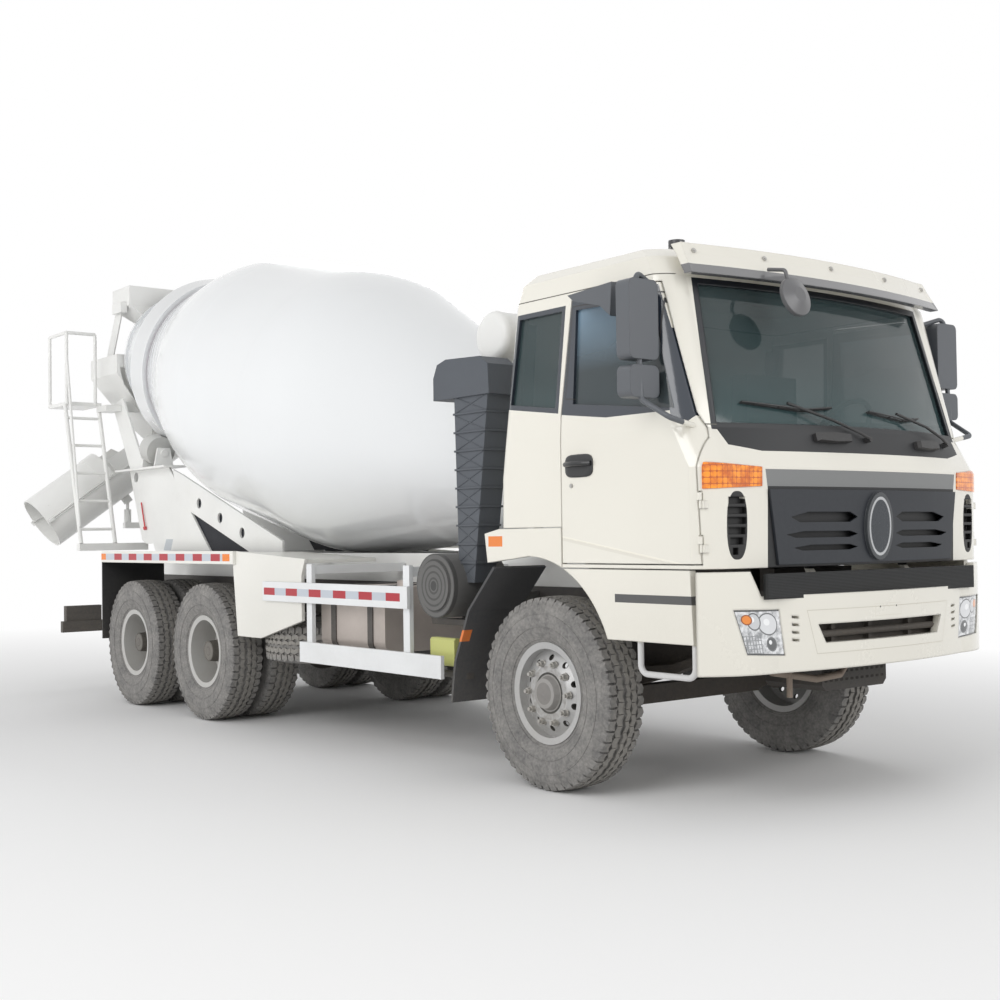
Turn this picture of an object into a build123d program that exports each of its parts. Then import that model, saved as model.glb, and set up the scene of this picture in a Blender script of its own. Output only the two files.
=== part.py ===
from build123d import *
import os
from math import atan2, cos, degrees, radians, sin

os.makedirs("parts", exist_ok=True)

# Six by four concrete mixer truck with a tilting forward-control cab.
# Millimetres. +X is forward, +Y the vehicle's left, +Z up; the origin is on the ground
# in the middle of the truck's length and width.

# ---- Running gear ----
FRONT_AXLE_X = 3230          # front axle, ahead of the middle of the truck's length
WHEELBASE = 4110             # front axle to the first drive axle
TANDEM = 1350                # first to second drive axle
TYRE_R = 542.5               # 11.00 R 20 tyre
TYRE_W = 293
RIM_R = 262                  # bead seat of a 20 inch rim
FRONT_WHEEL_Y = 995          # middle of the front tyre
TWIN_OUTER_Y = 1073          # middle of the outer rear tyre
TWIN_PITCH = 330             # between the two tyres of a twin wheel
KINGPIN_Y = 850
KINGPIN_R = 24
SPINDLE_R = 42               # front stub axle
REAR_SPINDLE_R = 55          # drive axle tube inside the hubs
RUN_GAP = 0.3                # radial clearance of every turning fit
SHUT_GAP = 6                 # clearance between moving panels and their neighbours

# ---- Frame ----
RAIL_TOP = 1100
RAIL_DEPTH = 270
RAIL_OUTER_Y = 430
RAIL_FLANGE = 80
RAIL_WALL = 10
FRAME_FRONT = FRONT_AXLE_X + 1130
TILT_EYE_R = 30              # cab tilt pivots: eyes, pins and bracket plates
TILT_PIN_R = 16
TILT_PIN_REACH = 45
TILT_PLATE = 20
TOW_PIN_R = 22               # upright towing pins at both ends
TOW_REACH = 110
FRAME_REAR = FRONT_AXLE_X - 7000
SUBFRAME_TOP = 1310          # top of the drum's mounting frame
SUBFRAME_FRONT = FRONT_AXLE_X - 380
RAIL_BOTTOM = RAIL_TOP - RAIL_DEPTH
AXLE_XS = (FRONT_AXLE_X, FRONT_AXLE_X - WHEELBASE, FRONT_AXLE_X - WHEELBASE - TANDEM)
MID_AXLE_X = AXLE_XS[1]
REAR_AXLE_X = AXLE_XS[2]
TRUNNION_X = (MID_AXLE_X + REAR_AXLE_X) / 2

# ---- Cab ----
CAB_WALL = 45
GLASS_T = 6
GLASS_SET = 18               # glass behind the outer skin
CAB_FLOOR = 1320
CAB_CORNER = 70              # round of the cab's back corners in plan
TILT_X = FRONT_AXLE_X + 1365 # cab's tilt pins
TILT_Z = 1140
DOOR_HINGE_X = FRONT_AXLE_X + 1250
DOOR_HINGE_Y = 1166

# ---- Drum ----
DRUM_X = FRONT_AXLE_X - 945  # middle of the drum's front flange
DRUM_Z = 1840
DRUM_TILT = 13.5             # degrees, rising to the rear
DRUM_WALL = 10
DRUM_R = 1150                # cylindrical middle of the drum
RING_R = 855                 # roller ring
RING_RISE = 45               # ring above the drum's skin
ROLLER_R = 140
ROLLER_W = 180
ROLLER_PIN_R = 35
ROLLER_ANGLE = 35            # each roller from straight down, about the drum's axis

# ---- Rear outfit ----
PEDESTAL_Y = 575             # middle of a pedestal side plate
PEDESTAL_TOP = 2130
PLATE_T = 20                 # pedestal and brace plates
CHUTE_PIVOT_X = FRONT_AXLE_X - 7500
CHUTE_HINGE_Z = 2060
CHUTE_AZIMUTH = 85           # degrees, parked to the right of straight back
CHUTE_SLOPE = 36
CHUTE_R = 285                # main trough
CHUTE_BED = 90               # bottom of the trough above its tilt hinge
CHUTE_ROOT = -300            # ends of the main trough along the chute
CHUTE_END = 1260
EXTENSION_R = 255
EXTENSION_START = 440        # folded extension, from here to the trough's end
CHUTE_WALL = 10
FLIP_GAP = 8                 # between the rims of trough and extension


def at(offset):
    """Place along the truck of a point given from the front axle."""
    return FRONT_AXLE_X + offset


LOW = (Align.CENTER, Align.CENTER, Align.MIN)


def block(x0, x1, y0, y1, z0, z1):
    """Box between two corners."""
    centre = Pos((x0 + x1) / 2, (y0 + y1) / 2, (z0 + z1) / 2)
    return centre * Box(abs(x1 - x0), abs(y1 - y0), abs(z1 - z0))


def side_plate(points, y0, y1):
    """Outline in X and Z, thick along Y."""
    face = make_face(Polyline([(x, 0, z) for x, z in points], close=True))
    return Pos(0, min(y0, y1), 0) * extrude(face, abs(y1 - y0), dir=(0, 1, 0))


def cross_plate(points, x0, x1):
    """Outline in Y and Z, thick along X."""
    face = make_face(Polyline([(0, y, z) for y, z in points], close=True))
    return Pos(min(x0, x1), 0, 0) * extrude(face, abs(x1 - x0), dir=(1, 0, 0))


def rod(start, end, radius):
    """Round bar between two points."""
    a = Vector(*start)
    b = Vector(*end)
    return Solid.make_cylinder(radius, (b - a).length, Plane(a, z_dir=b - a))


def bent_tube(points, radius, bend):
    """Round tube along straight runs joined by arcs."""
    path = FilletPolyline(*points, radius=bend)
    start = Vector(*points[0])
    plane = Plane(start, z_dir=Vector(*points[1]) - start)
    return sweep(plane * Circle(radius), path=path)


def turned(points):
    """Body turned about Y from an outline of radius and place along Y."""
    return revolve(make_face(Polyline([(r, y) for r, y in points], close=True)), Axis.Y)


def both_sides(shape):
    """The shape and its mirror image on the other side of the truck."""
    return shape + mirror(shape, Plane.XZ)


def save(shape, name):
    solids = shape.solids()
    export_step(solids[0] if len(solids) == 1 else Compound(children=solids), f"parts/{name}.step")


# ---- Wheels ----
def tyre():
    """Radial truck tyre, about Y."""
    height = TYRE_R - RIM_R
    half = TYRE_W / 2
    outline = [(RIM_R, -0.57 * half), (RIM_R + 0.4 * height, -half), (RIM_R + 0.62 * height, -half),
               (TYRE_R - 14, -0.83 * half), (TYRE_R, -0.68 * half)]
    return turned(outline + [(r, -y) for r, y in reversed(outline)])


def rim_barrel():
    """Rim with its two flanges, about Y."""
    half = 0.7 * TYRE_W / 2
    return turned([(RIM_R - 14, -half), (RIM_R + 24, -half - 6), (RIM_R + 24, -half + 2), (RIM_R, -half + 8),
                   (RIM_R, half - 8), (RIM_R + 24, half - 2), (RIM_R + 24, half + 6), (RIM_R - 14, half)])


def hand_holes(count, radius, size, y0, y1):
    """Round holes through a wheel disc, in a ring about Y."""
    holes = None
    for n in range(count):
        angle = 360 * (n + 0.5) / count
        hole = Rot(0, angle, 0) * Pos(radius, (y0 + y1) / 2, 0) * Rot(90, 0, 0) * Cylinder(size, y1 - y0)
        holes = hole if holes is None else holes + hole
    return holes


def front_wheel():
    """Disc wheel with hand holes and its hub; +Y is the outer side."""
    bore = SPINDLE_R + RUN_GAP
    disc = turned([(bore, -60), (105, -60), (105, 74), (150, 78), (215, 40), (RIM_R - 12, 30),
                   (RIM_R - 12, 44), (222, 54), (158, 92), (96, 92), (84, 128), (0, 134), (0, 96), (bore, 96)])
    return rim_barrel() + disc - hand_holes(10, 198, 15, 30, 90)


def twin_wheel():
    """Two disc wheels back to back on a drive axle's hub; +Y is the outer side, 0 the outer rim."""
    bore = REAR_SPINDLE_R + RUN_GAP
    mid = -TWIN_PITCH / 2
    disc = turned([(RIM_R - 12, mid + 60), (RIM_R - 12, mid + 46), (215, mid + 2), (205, mid - 2),
                   (RIM_R - 12, mid - 46), (RIM_R - 12, mid - 60), (205, mid - 14), (120, mid - 14),
                   (120, -TWIN_PITCH - 90), (bore, -TWIN_PITCH - 90), (bore, 40), (0, 40), (0, 76), (80, 70),
                   (96, mid + 60), (120, mid + 14), (205, mid + 14)])
    disc -= hand_holes(8, 180, 22, mid - 30, mid + 40)
    return rim_barrel() + Pos(0, -TWIN_PITCH, 0) * rim_barrel() + disc


def place_wheel(shape, x, y, side):
    """Wheel at an axle end: side is 1 on the left, -1 on the right."""
    turned_out = shape if side > 0 else mirror(shape, Plane.XZ)
    return Pos(x, side * y, TYRE_R) * turned_out


def wheels():
    twin_tyres = tyre() + Pos(0, -TWIN_PITCH, 0) * tyre()
    # columns: name, wheel shape, tyres, axle, place across
    table = [("front", front_wheel(), tyre(), FRONT_AXLE_X, FRONT_WHEEL_Y),
             ("mid", twin_wheel(), twin_tyres, MID_AXLE_X, TWIN_OUTER_Y),
             ("rear", twin_wheel(), twin_tyres, REAR_AXLE_X, TWIN_OUTER_Y)]
    for name, wheel, tyres, x, y in table:
        for side_name, side in (("left", 1), ("right", -1)):
            save(place_wheel(wheel, x, y, side), f"{name}_wheel_{side_name}")
            save(place_wheel(tyres, x, y, side), f"{name}_tyre_{side_name}")


# ---- Axles ----
def front_axle():
    """Forged beam with dropped middle, its kingpins, and the two leaf springs."""
    x = FRONT_AXLE_X
    hub = TYRE_R
    fist = 55
    beam = cross_plate([(-820, hub - fist), (-620, hub - 120), (620, hub - 120), (820, hub - fist),
                        (820, hub + fist), (640, hub - 10), (-640, hub - 10), (-820, hub + fist)], x - 45, x + 45)
    eyes = both_sides(Pos(x, KINGPIN_Y, hub) * Cylinder(52, 2 * fist))
    pins = both_sides(Pos(x, KINGPIN_Y, hub) * Cylinder(KINGPIN_R, 250))
    spring_y = RAIL_OUTER_Y - 45
    leaf = side_plate([(x - 720, RAIL_BOTTOM - 60), (x - 300, hub + 70), (x, hub - 10), (x + 300, hub + 70),
                       (x + 720, RAIL_BOTTOM - 60), (x + 720, RAIL_BOTTOM - 30), (x + 300, hub + 130),
                       (x, hub + 100), (x - 300, hub + 130), (x - 720, RAIL_BOTTOM - 30)],
                      spring_y - 40, spring_y + 40)
    hangers = [block(x + s * 700 - 35, x + s * 700 + 35, spring_y - 45, spring_y + 45,
                     RAIL_BOTTOM - 70, RAIL_BOTTOM) for s in (-1, 1)]
    return beam + eyes + pins + both_sides(leaf + hangers[0] + hangers[1])


def knuckle():
    """Left steering knuckle: two lugs on the kingpin, the brake plate and the stub axle."""
    x = FRONT_AXLE_X
    z = TYRE_R
    lug = Cylinder(46, 50)
    body = Pos(x, KINGPIN_Y, z + 90) * lug + Pos(x, KINGPIN_Y, z - 90) * lug
    body += block(x - 40, x + 40, KINGPIN_Y + 58, KINGPIN_Y + 78, z - 115, z + 115)
    body += block(x - 40, x + 40, KINGPIN_Y, KINGPIN_Y + 70, z + 65, z + 115)
    body += block(x - 40, x + 40, KINGPIN_Y, KINGPIN_Y + 70, z - 115, z - 65)
    body += rod((x, KINGPIN_Y + 70, z), (x, FRONT_WHEEL_Y + 88, z), SPINDLE_R)
    body -= Pos(x, KINGPIN_Y, z) * Cylinder(KINGPIN_R + RUN_GAP, 400)
    return body


def drive_axles():
    """Two axle casings, their bogie springs on the trunnion, and the propeller shafts."""
    z = TYRE_R
    inner = TWIN_OUTER_Y - TWIN_PITCH - TYRE_W / 2
    casing = None
    for x in (MID_AXLE_X, REAR_AXLE_X):
        tube = rod((x, -inner + 30, z), (x, inner - 30, z), 85)
        spindle = rod((x, -TWIN_OUTER_Y - 30, z), (x, TWIN_OUTER_Y + 30, z), REAR_SPINDLE_R)
        bowl = Pos(x, 0, z) * Rot(0, 90, 0) * Cone(230, 120, 260)
        axle = tube + spindle + bowl + Pos(x + 200, 0, z + 30) * Rot(0, 90, 0) * Cylinder(75, 260)
        casing = axle if casing is None else casing + axle
    spring_y = RAIL_OUTER_Y + 62
    pack = side_plate([(MID_AXLE_X + 60, z + 70), (MID_AXLE_X + 60, z + 100), (TRUNNION_X + 240, z + 190),
                       (TRUNNION_X - 240, z + 190), (REAR_AXLE_X - 60, z + 100), (REAR_AXLE_X - 60, z + 70),
                       (TRUNNION_X - 200, z + 60), (TRUNNION_X + 200, z + 60)], spring_y - 42, spring_y + 42)
    trunnion = rod((TRUNNION_X, -spring_y - 50, z + 20), (TRUNNION_X, spring_y + 50, z + 20), 60)
    bracket = block(TRUNNION_X - 150, TRUNNION_X + 150, RAIL_OUTER_Y - 60, RAIL_OUTER_Y - 10,
                    z - 20, RAIL_BOTTOM)
    seats = [block(x - 70, x + 70, spring_y - 42, spring_y + 42, z, z + 95) for x in (MID_AXLE_X, REAR_AXLE_X)]
    links = rod((MID_AXLE_X + 320, 0, z + 30), (at(-1270), 0, z + 210), 52)
    links += rod((REAR_AXLE_X + 320, 0, z + 30), (MID_AXLE_X - 100, 0, z + 30), 45)
    return casing + both_sides(pack + bracket + seats[0] + seats[1]) + trunnion + links


# ---- Frame ----
def channel(x0, x1):
    """Left frame rail: a channel open to the inside."""
    y = RAIL_OUTER_Y
    return cross_plate([(y, RAIL_BOTTOM), (y, RAIL_TOP), (y - RAIL_FLANGE, RAIL_TOP),
                        (y - RAIL_FLANGE, RAIL_TOP - RAIL_WALL), (y - RAIL_WALL, RAIL_TOP - RAIL_WALL),
                        (y - RAIL_WALL, RAIL_BOTTOM + RAIL_WALL), (y - RAIL_FLANGE, RAIL_BOTTOM + RAIL_WALL),
                        (y - RAIL_FLANGE, RAIL_BOTTOM)], x0, x1)


def frame_rails():
    """Two channels with their cross beams, the cab's tilt brackets and the towing jaws."""
    rails = both_sides(channel(FRAME_REAR, FRAME_FRONT))
    reach = RAIL_OUTER_Y - RAIL_WALL
    for x in (FRAME_FRONT - 60, at(-1900), at(-3300), TRUNNION_X, FRAME_REAR + 60):
        rails += block(x - 50, x + 50, -reach, reach, RAIL_BOTTOM + 60, RAIL_BOTTOM + 210)
    bracket = side_plate([(FRAME_FRONT - 200, RAIL_TOP), (FRAME_FRONT - 200, RAIL_BOTTOM + 80), (FRAME_FRONT, RAIL_BOTTOM + 80),
                          (TILT_X + TILT_EYE_R, TILT_Z - 60), (TILT_X + TILT_EYE_R, TILT_Z + TILT_EYE_R),
                          (TILT_X - TILT_EYE_R, TILT_Z + TILT_EYE_R)], RAIL_OUTER_Y, RAIL_OUTER_Y + TILT_PLATE)
    pin = rod((TILT_X, RAIL_OUTER_Y - TILT_PIN_REACH, TILT_Z), (TILT_X, RAIL_OUTER_Y + TILT_PLATE, TILT_Z), TILT_PIN_R)
    rails += both_sides(bracket + pin)
    for x, end in ((FRAME_FRONT - 10, 1), (FRAME_REAR + 10, -1)):
        rails += towing_jaw(x, end)
    return rails


def towing_jaw(x, end):
    """Jaw on an end cross beam with an upright hole for the towing pin; end is 1 at the front."""
    z = RAIL_BOTTOM + 135
    jaw = block(x, x + end * TOW_REACH, -60, 60, z - 60, z + 60)
    jaw -= block(x + end * 25, x + end * (TOW_REACH + 1), -61, 61, z - 30, z + 30)
    return jaw - Pos(x + end * (TOW_REACH - 40), 0, z) * Cylinder(TOW_PIN_R, 200)


def subframe():
    """Drum mounting frame: two box beams on the rails with cross beams."""
    y1 = RAIL_OUTER_Y - 5
    beams = both_sides(block(FRAME_REAR - 60, SUBFRAME_FRONT, y1 - 75, y1, RAIL_TOP, SUBFRAME_TOP))
    for x in (SUBFRAME_FRONT - 60, at(-2300), at(-4200), FRAME_REAR - 15):
        beams += block(x - 45, x + 45, -y1 + 70, y1 - 70, RAIL_TOP + 30, SUBFRAME_TOP - 20)
    return beams


def engine():
    """Engine and gearbox as one block each, with the radiator ahead of them."""
    inner = RAIL_OUTER_Y - RAIL_FLANGE - 15
    motor = block(at(-330), at(830), -inner, inner, 640, 1430)
    gearbox = rod((at(-1250), 0, 780), (at(-300), 0, 780), 210)
    radiator = block(at(900), at(1000), -inner, inner, 760, 1230)
    return motor + gearbox + radiator + block(at(830), at(900), -120, 120, 900, 1100)


# ---- Cab ----
# columns: height, front in the middle, front shoulder along and across, start of the side, half width, back
CAB_SECTIONS = [(1250, 1405, 1320, 1020, 1200, 1190, -310),
                (1750, 1420, 1330, 1020, 1200, 1190, -300),
                (1950, 1385, 1215, 1010, 1090, 1190, -270),
                (2740, 1110, 1010, 985, 930, 1145, -195),
                (2850, 1050, 950, 930, 860, 1118, -180),
                (2905, 985, 880, 860, 780, 1060, -140),
                (2935, 860, 780, 740, 640, 960, -60)]


def cab_section(row, inset, z):
    """Plan outline of the cab at one height, moved in by inset."""
    _, front, shoulder_x, shoulder_y, side_x, half, back = row
    front_x = at(front) - inset
    corner = (at(shoulder_x) - inset, shoulder_y - 0.6 * inset)
    side = (at(side_x) - 0.6 * inset, half - inset)
    back_x = at(back) + inset
    turn = CAB_CORNER - 0.5 * inset
    near = turn * (1 - cos(radians(45)))
    bulge = 0.12 * (side[1] - corner[1])
    middle = ((corner[0] + side[0]) / 2 + bulge, (corner[1] + side[1]) / 2 + bulge)
    edges = [ThreePointArc((corner[0], -corner[1], z), (front_x, 0, z), (corner[0], corner[1], z)),
             ThreePointArc((corner[0], corner[1], z), (middle[0], middle[1], z), (side[0], side[1], z)),
             Line((side[0], side[1], z), (back_x + turn, side[1], z)),
             ThreePointArc((back_x + turn, side[1], z), (back_x + near, side[1] - near, z), (back_x, side[1] - turn, z)),
             Line((back_x, side[1] - turn, z), (back_x, turn - side[1], z)),
             ThreePointArc((back_x, turn - side[1], z), (back_x + near, near - side[1], z), (back_x + turn, -side[1], z)),
             Line((back_x + turn, -side[1], z), (side[0], -side[1], z)),
             ThreePointArc((side[0], -side[1], z), (middle[0], -middle[1], z), (corner[0], -corner[1], z))]
    return make_face(edges)


def cab_form(inset=0, rise=0):
    """Closed form of the cab, moved in by inset; its top comes down by the inset too."""
    rows = CAB_SECTIONS
    faces = []
    for number, row in enumerate(rows):
        z = row[0]
        if number == 0:
            z += rise
        if number >= len(rows) - 2:
            z -= inset
        faces.append(cab_section(row, inset, z))
    return loft(faces, ruled=True)


WINDSCREEN = [(-1000, 1975), (1000, 1975), (925, 2700), (-925, 2700)]
BACK_WINDOW = [(-480, 2120), (480, 2120), (440, 2560), (-440, 2560)]
DOOR_INNER = 1030            # the doors' inner edges across
# outlines along and up, from the front axle
QUARTER_WINDOW = [(-130, 2650), (235, 2650), (200, 2120), (-190, 2170)]
DOOR_WINDOW = [(350, 2640), (345, 2130), (1090, 2050), (925, 2625)]
DOOR = [(255, 1275), (255, 2080), (320, 2725), (965, 2700), (1165, 2020), (1225, 1900), (1245, 1275)]
# columns: height, inner edge and outer edge across of each slot in the corner vent
VENT_SLOTS = [(1335, 985, 1020), (1385, 955, 1035), (1435, 940, 1045), (1485, 935, 1050),
              (1535, 935, 1050), (1585, 945, 1045)]
VENT_SLOT = 34
RECESS = 30                  # depth of vents and of the hollow behind the front panel
TURN_LAMP = [(840, 1655), (840, 1750), (1200, 1776), (1200, 1640)]
HINGE_BARREL = 8             # door hinges: barrels, pins, middles
HINGE_PIN = 5
HINGE_Z = (1370, 1585)


def shifted(points):
    """Outline given from the front axle, in the truck's own X."""
    return [(at(x), z) for x, z in points]


def grown(points, gap):
    """Outline with each corner moved out from the middle by gap in X and Z."""
    mx = sum(x for x, z in points) / len(points)
    mz = sum(z for x, z in points) / len(points)
    return [(x + (gap if x > mx else -gap), z + (gap if z > mz else -gap)) for x, z in points]


def cab_skin():
    """Walls, roof and floor of the cab with its doors still in place."""
    inner = cab_form(CAB_WALL, CAB_FLOOR - CAB_SECTIONS[0][0])
    inner -= block(at(-600), at(290), -2000, 2000, 1000, 1530)
    inner -= block(at(-600), at(930), -430, 430, 1000, 1570)
    outer = cab_form()
    outer -= block(at(-600), at(250), -2000, 2000, 1000, 1470)
    outer -= block(at(-600), at(880), -390, 390, 1000, 1520)
    return outer - inner


def door_hinges(low, high, radius):
    """Upright cylinders at the left door's two hinges, from low to high about each hinge's middle."""
    both = None
    for z in HINGE_Z:
        barrel = Pos(DOOR_HINGE_X, DOOR_HINGE_Y, z + (low + high) / 2) * Cylinder(radius, high - low)
        both = barrel if both is None else both + barrel
    return both


def cab_parts():
    skin = cab_skin()
    cuts = cross_plate(WINDSCREEN, at(600), at(1600)) + cross_plate(BACK_WINDOW, at(-600), at(100))
    sides = side_plate(shifted(QUARTER_WINDOW), 900, 1400)
    doorway = side_plate(shifted(grown(DOOR, SHUT_GAP)), DOOR_INNER - SHUT_GAP, 1400)
    band = cab_form() - cab_form(RECESS)
    lamps = (cab_form(-5) - cab_form(RECESS)) & both_sides(cross_plate(TURN_LAMP, DOOR_HINGE_X + 8, at(1500)))
    hollow = band & cross_plate(grown(GRILLE, -30), at(1200), at(1500))
    for z, y0, y1 in VENT_SLOTS:
        hollow += band & both_sides(block(at(1150), at(1500), y0, y1, z - VENT_SLOT / 2, z + VENT_SLOT / 2))
    shell = skin - cuts - both_sides(sides) - both_sides(doorway) - hollow - lamps
    y = RAIL_OUTER_Y - TILT_PIN_REACH
    eye = rod((TILT_X, y, TILT_Z), (TILT_X, RAIL_OUTER_Y - 2, TILT_Z), TILT_EYE_R)
    arm = [(-TILT_EYE_R, 0), (-5, TILT_EYE_R - 2), (-75, 115), (-75, CAB_FLOOR + 5 - TILT_Z),
           (-140, CAB_FLOOR + 5 - TILT_Z)]
    eye += side_plate([(TILT_X + dx, TILT_Z + dz) for dx, dz in arm], y, RAIL_OUTER_Y - 2)
    eye -= rod((TILT_X, y - 1, TILT_Z), (TILT_X, RAIL_OUTER_Y, TILT_Z), TILT_PIN_R + RUN_GAP)
    shell -= both_sides(door_hinges(-1, 46, HINGE_BARREL + 5))
    hinges = door_hinges(-40, -1, HINGE_BARREL) + door_hinges(-1, 40, HINGE_PIN)
    for z in HINGE_Z:
        hinges += block(DOOR_HINGE_X, DOOR_HINGE_X + 24, DOOR_HINGE_Y - 40, DOOR_HINGE_Y - 2, z - 40, z - 1)
    shell += both_sides(eye) + both_sides(hinges)
    save(shell, "cab_shell")
    save(lamps, "turn_lamps")

    panes = cab_form(GLASS_SET) - cab_form(GLASS_SET + GLASS_T)
    fixed = (panes & cross_plate(WINDSCREEN, at(600), at(1600))) \
        + (panes & cross_plate(BACK_WINDOW, at(-600), at(100))) + (panes & both_sides(sides))
    save(fixed, "cab_glass")

    leaf = side_plate(shifted(DOOR), DOOR_INNER, 1400)
    window = side_plate(shifted(DOOR_WINDOW), 900, 1400)
    door = (skin & leaf) - window - door_hinges(-46, 46, HINGE_BARREL + 5)
    door -= block(at(240), at(285), DOOR_INNER - 1, DOOR_INNER + 70, 1440, 1560)
    door += mirror_set() + door_hinges(1, 40, HINGE_BARREL)
    for z in HINGE_Z:
        door += block(DOOR_HINGE_X - 30, DOOR_HINGE_X, DOOR_HINGE_Y - 6, DOOR_HINGE_Y + 6, z + 1, z + 40)
    door -= door_hinges(0, 41, HINGE_PIN + RUN_GAP)
    save(door, "door_left")
    save(mirror(door, Plane.XZ) + kerb_mirror(), "door_right")
    glass = panes & window
    save(glass, "door_glass_left")
    save(mirror(glass, Plane.XZ), "door_glass_right")
    save(grille(), "grille")


def mirror_set():
    """Left main and wide-angle mirrors on their bracket."""
    arm = bent_tube([(at(1165), 1085, 1952), (at(1175), 1290, 1990), (at(1010), 1320, 2090),
                     (at(985), 1320, 2730), (at(930), 1118, 2668)], 14, 35)
    heads = None
    for z0, z1 in ((2100, 2262), (2290, 2690)):
        head = fillet(block(at(925), at(1020), 1200, 1400, z0, z1).edges().filter_by(Axis.X), 35)
        heads = head if heads is None else heads + head
    return arm + heads


def kerb_mirror():
    """Right door's kerb mirror on its bracket above the window."""
    shade = side_plate(shifted([(450, 2690), (790, 2712), (775, 2540), (700, 2600), (500, 2650)]), -1300, -1200)
    return shade + rod((at(640), -1100, 2690), (at(640), -1210, 2690), 14)


GRILLE = [(-800, 1640), (-740, 1262), (740, 1262), (800, 1640)]
# columns: height, half height, inner and outer end across of each slot
SLOTS = [(1500, 26, 165, 660), (1412, 16, 165, 690), (1345, 14, 165, 640)]
BOSS_Z, BOSS_Y, BOSS_H = 1450, 112, 178


def grille():
    """Front panel standing proud of the cab, with three lens-shaped slots each side and a plain boss."""
    panel = (cab_form(-14) - cab_form()) & cross_plate(GRILLE, at(1200), at(1500))
    for z, rise, y0, y1 in SLOTS:
        lens = [(y0, z), (y0 + 60, z + rise), (y1 - 120, z + rise), (y1, z), (y1 - 60, z - rise), (y0 + 60, z - rise)]
        panel -= both_sides(cross_plate(lens, at(1200), at(1500)))
    ring = Plane(origin=(at(1380), 0, BOSS_Z), x_dir=(0, 1, 0), z_dir=(1, 0, 0)) * Ellipse(BOSS_Y, BOSS_H)
    boss = extrude(ring, 80) & (cab_form(-34) - cab_form())
    return panel + boss


def fenders():
    """Left wheel arch, step panel and hanging step below the door."""
    y1 = CAB_SECTIONS[0][5]
    outline = [Line((at(244), 0, 1466), (at(244), 0, 1244)), Line((at(244), 0, 1244), (at(1195), 0, 1244)),
               Line((at(1195), 0, 1244), (at(1212), 0, 880)), Line((at(1212), 0, 880), (at(600), 0, 880)),
               ThreePointArc((at(600), 0, 880), (at(400), 0, 1152), (at(-40), 0, 1310)),
               Line((at(-40), 0, 1310), (at(-410), 0, 1272)), Line((at(-410), 0, 1272), (at(-435), 0, 1440)),
               Line((at(-435), 0, 1440), (at(-300), 0, 1466)), Line((at(-300), 0, 1466), (at(244), 0, 1466))]
    face = make_face(outline)
    skin = Pos(0, y1 - 40, 0) * extrude(face, 40, dir=(0, 1, 0))
    whole = Pos(0, 760, 0) * extrude(face, y1 - 760, dir=(0, 1, 0))
    inside = Pos(0, 700, 0) * extrude(face, y1 - 720, dir=(0, 1, 0))
    tread = block(at(620), at(1190), y1 - 330, y1 - 20, 1090, 1110)
    arch = whole & block(at(-500), at(640), 0, 2000, 0, 1400)
    arch -= Pos(0, 0, 30) * inside
    step = bent_tube([(at(815), y1 - 30, 885), (at(815), y1 - 30, 715), (at(1195), y1 - 30, 715),
                      (at(1195), y1 - 30, 885)], 16, 50)
    return skin + arch + tread + step


def interior():
    """Seats, instrument panel, steering column and wheel."""
    seats = both_sides(block(at(60), at(560), 470, 950, 1540, 1800) + block(at(0), at(130), 470, 950, 1800, 2420))
    panel = block(at(960), at(1230), -1000, 1000, 1600, 1900) & cab_form(CAB_WALL + 10)
    hub = (at(750), 600, 2018)
    column = rod((at(980), 600, 1850), hub, 28)
    place = Plane(hub, z_dir=(hub[0] - at(980), 0, hub[2] - 1850))
    return seats + panel + column + place * Torus(215, 16) + place * Box(40, 420, 14)


def visor():
    """Sun visor along the front edge of the roof, with the front mirror that hangs from it and a roof lamp."""
    outer = cab_form(-110) & cross_plate([(-1060, 2735), (1060, 2735), (1040, 2905), (-1040, 2905)], at(700), at(1400))
    brackets = both_sides(block(at(900), at(1300), 560, 590, 2800, 2850)) & (cab_form(-62) - cab_form())
    arm = bent_tube([(at(1190), -560, 2790), (at(1300), -560, 2770), (at(1330), -540, 2640)], 10, 20)
    bowl = Pos(at(1330), -520, 2630) * Rot(0, 75, 0) * (Cylinder(105, 22) + Pos(0, 0, 11) * Cone(105, 40, 26, align=LOW))
    lamp = Pos(at(740), -770, 2925) * Cylinder(30, 60) + Pos(at(740), -770, 2975) * Cylinder(45, 40)
    return outer - cab_form(-60) + brackets + arm + bowl + (lamp - cab_form())


# ---- Nose ----
def bumper_outline(inset):
    """Plan of the bumper: flat middle, swept corners."""
    return make_face([ThreePointArc((at(1400) - inset, -790, 0), (at(1480) - inset, 0, 0), (at(1400) - inset, 790, 0)),
                      ThreePointArc((at(1400) - inset, 790, 0), (at(1350) - 0.8 * inset, 1040 - 0.6 * inset, 0),
                                    (at(1240), 1200 - inset, 0)),
                      Line((at(1240), 1200 - inset, 0), (at(1240), -1200 + inset, 0)),
                      ThreePointArc((at(1240), -1200 + inset, 0), (at(1350) - 0.8 * inset, -1040 + 0.6 * inset, 0),
                                    (at(1400) - inset, -790, 0))])


BUMPER_Z = (730, 1235)       # bottom, and top of the raised corners
BUMPER_LEDGE = 1112          # top of the middle
BUMPER_WALL = 45
LAMP = [(778, 1044), (1050, 1050), (985, 830), (745, 815)]


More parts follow.
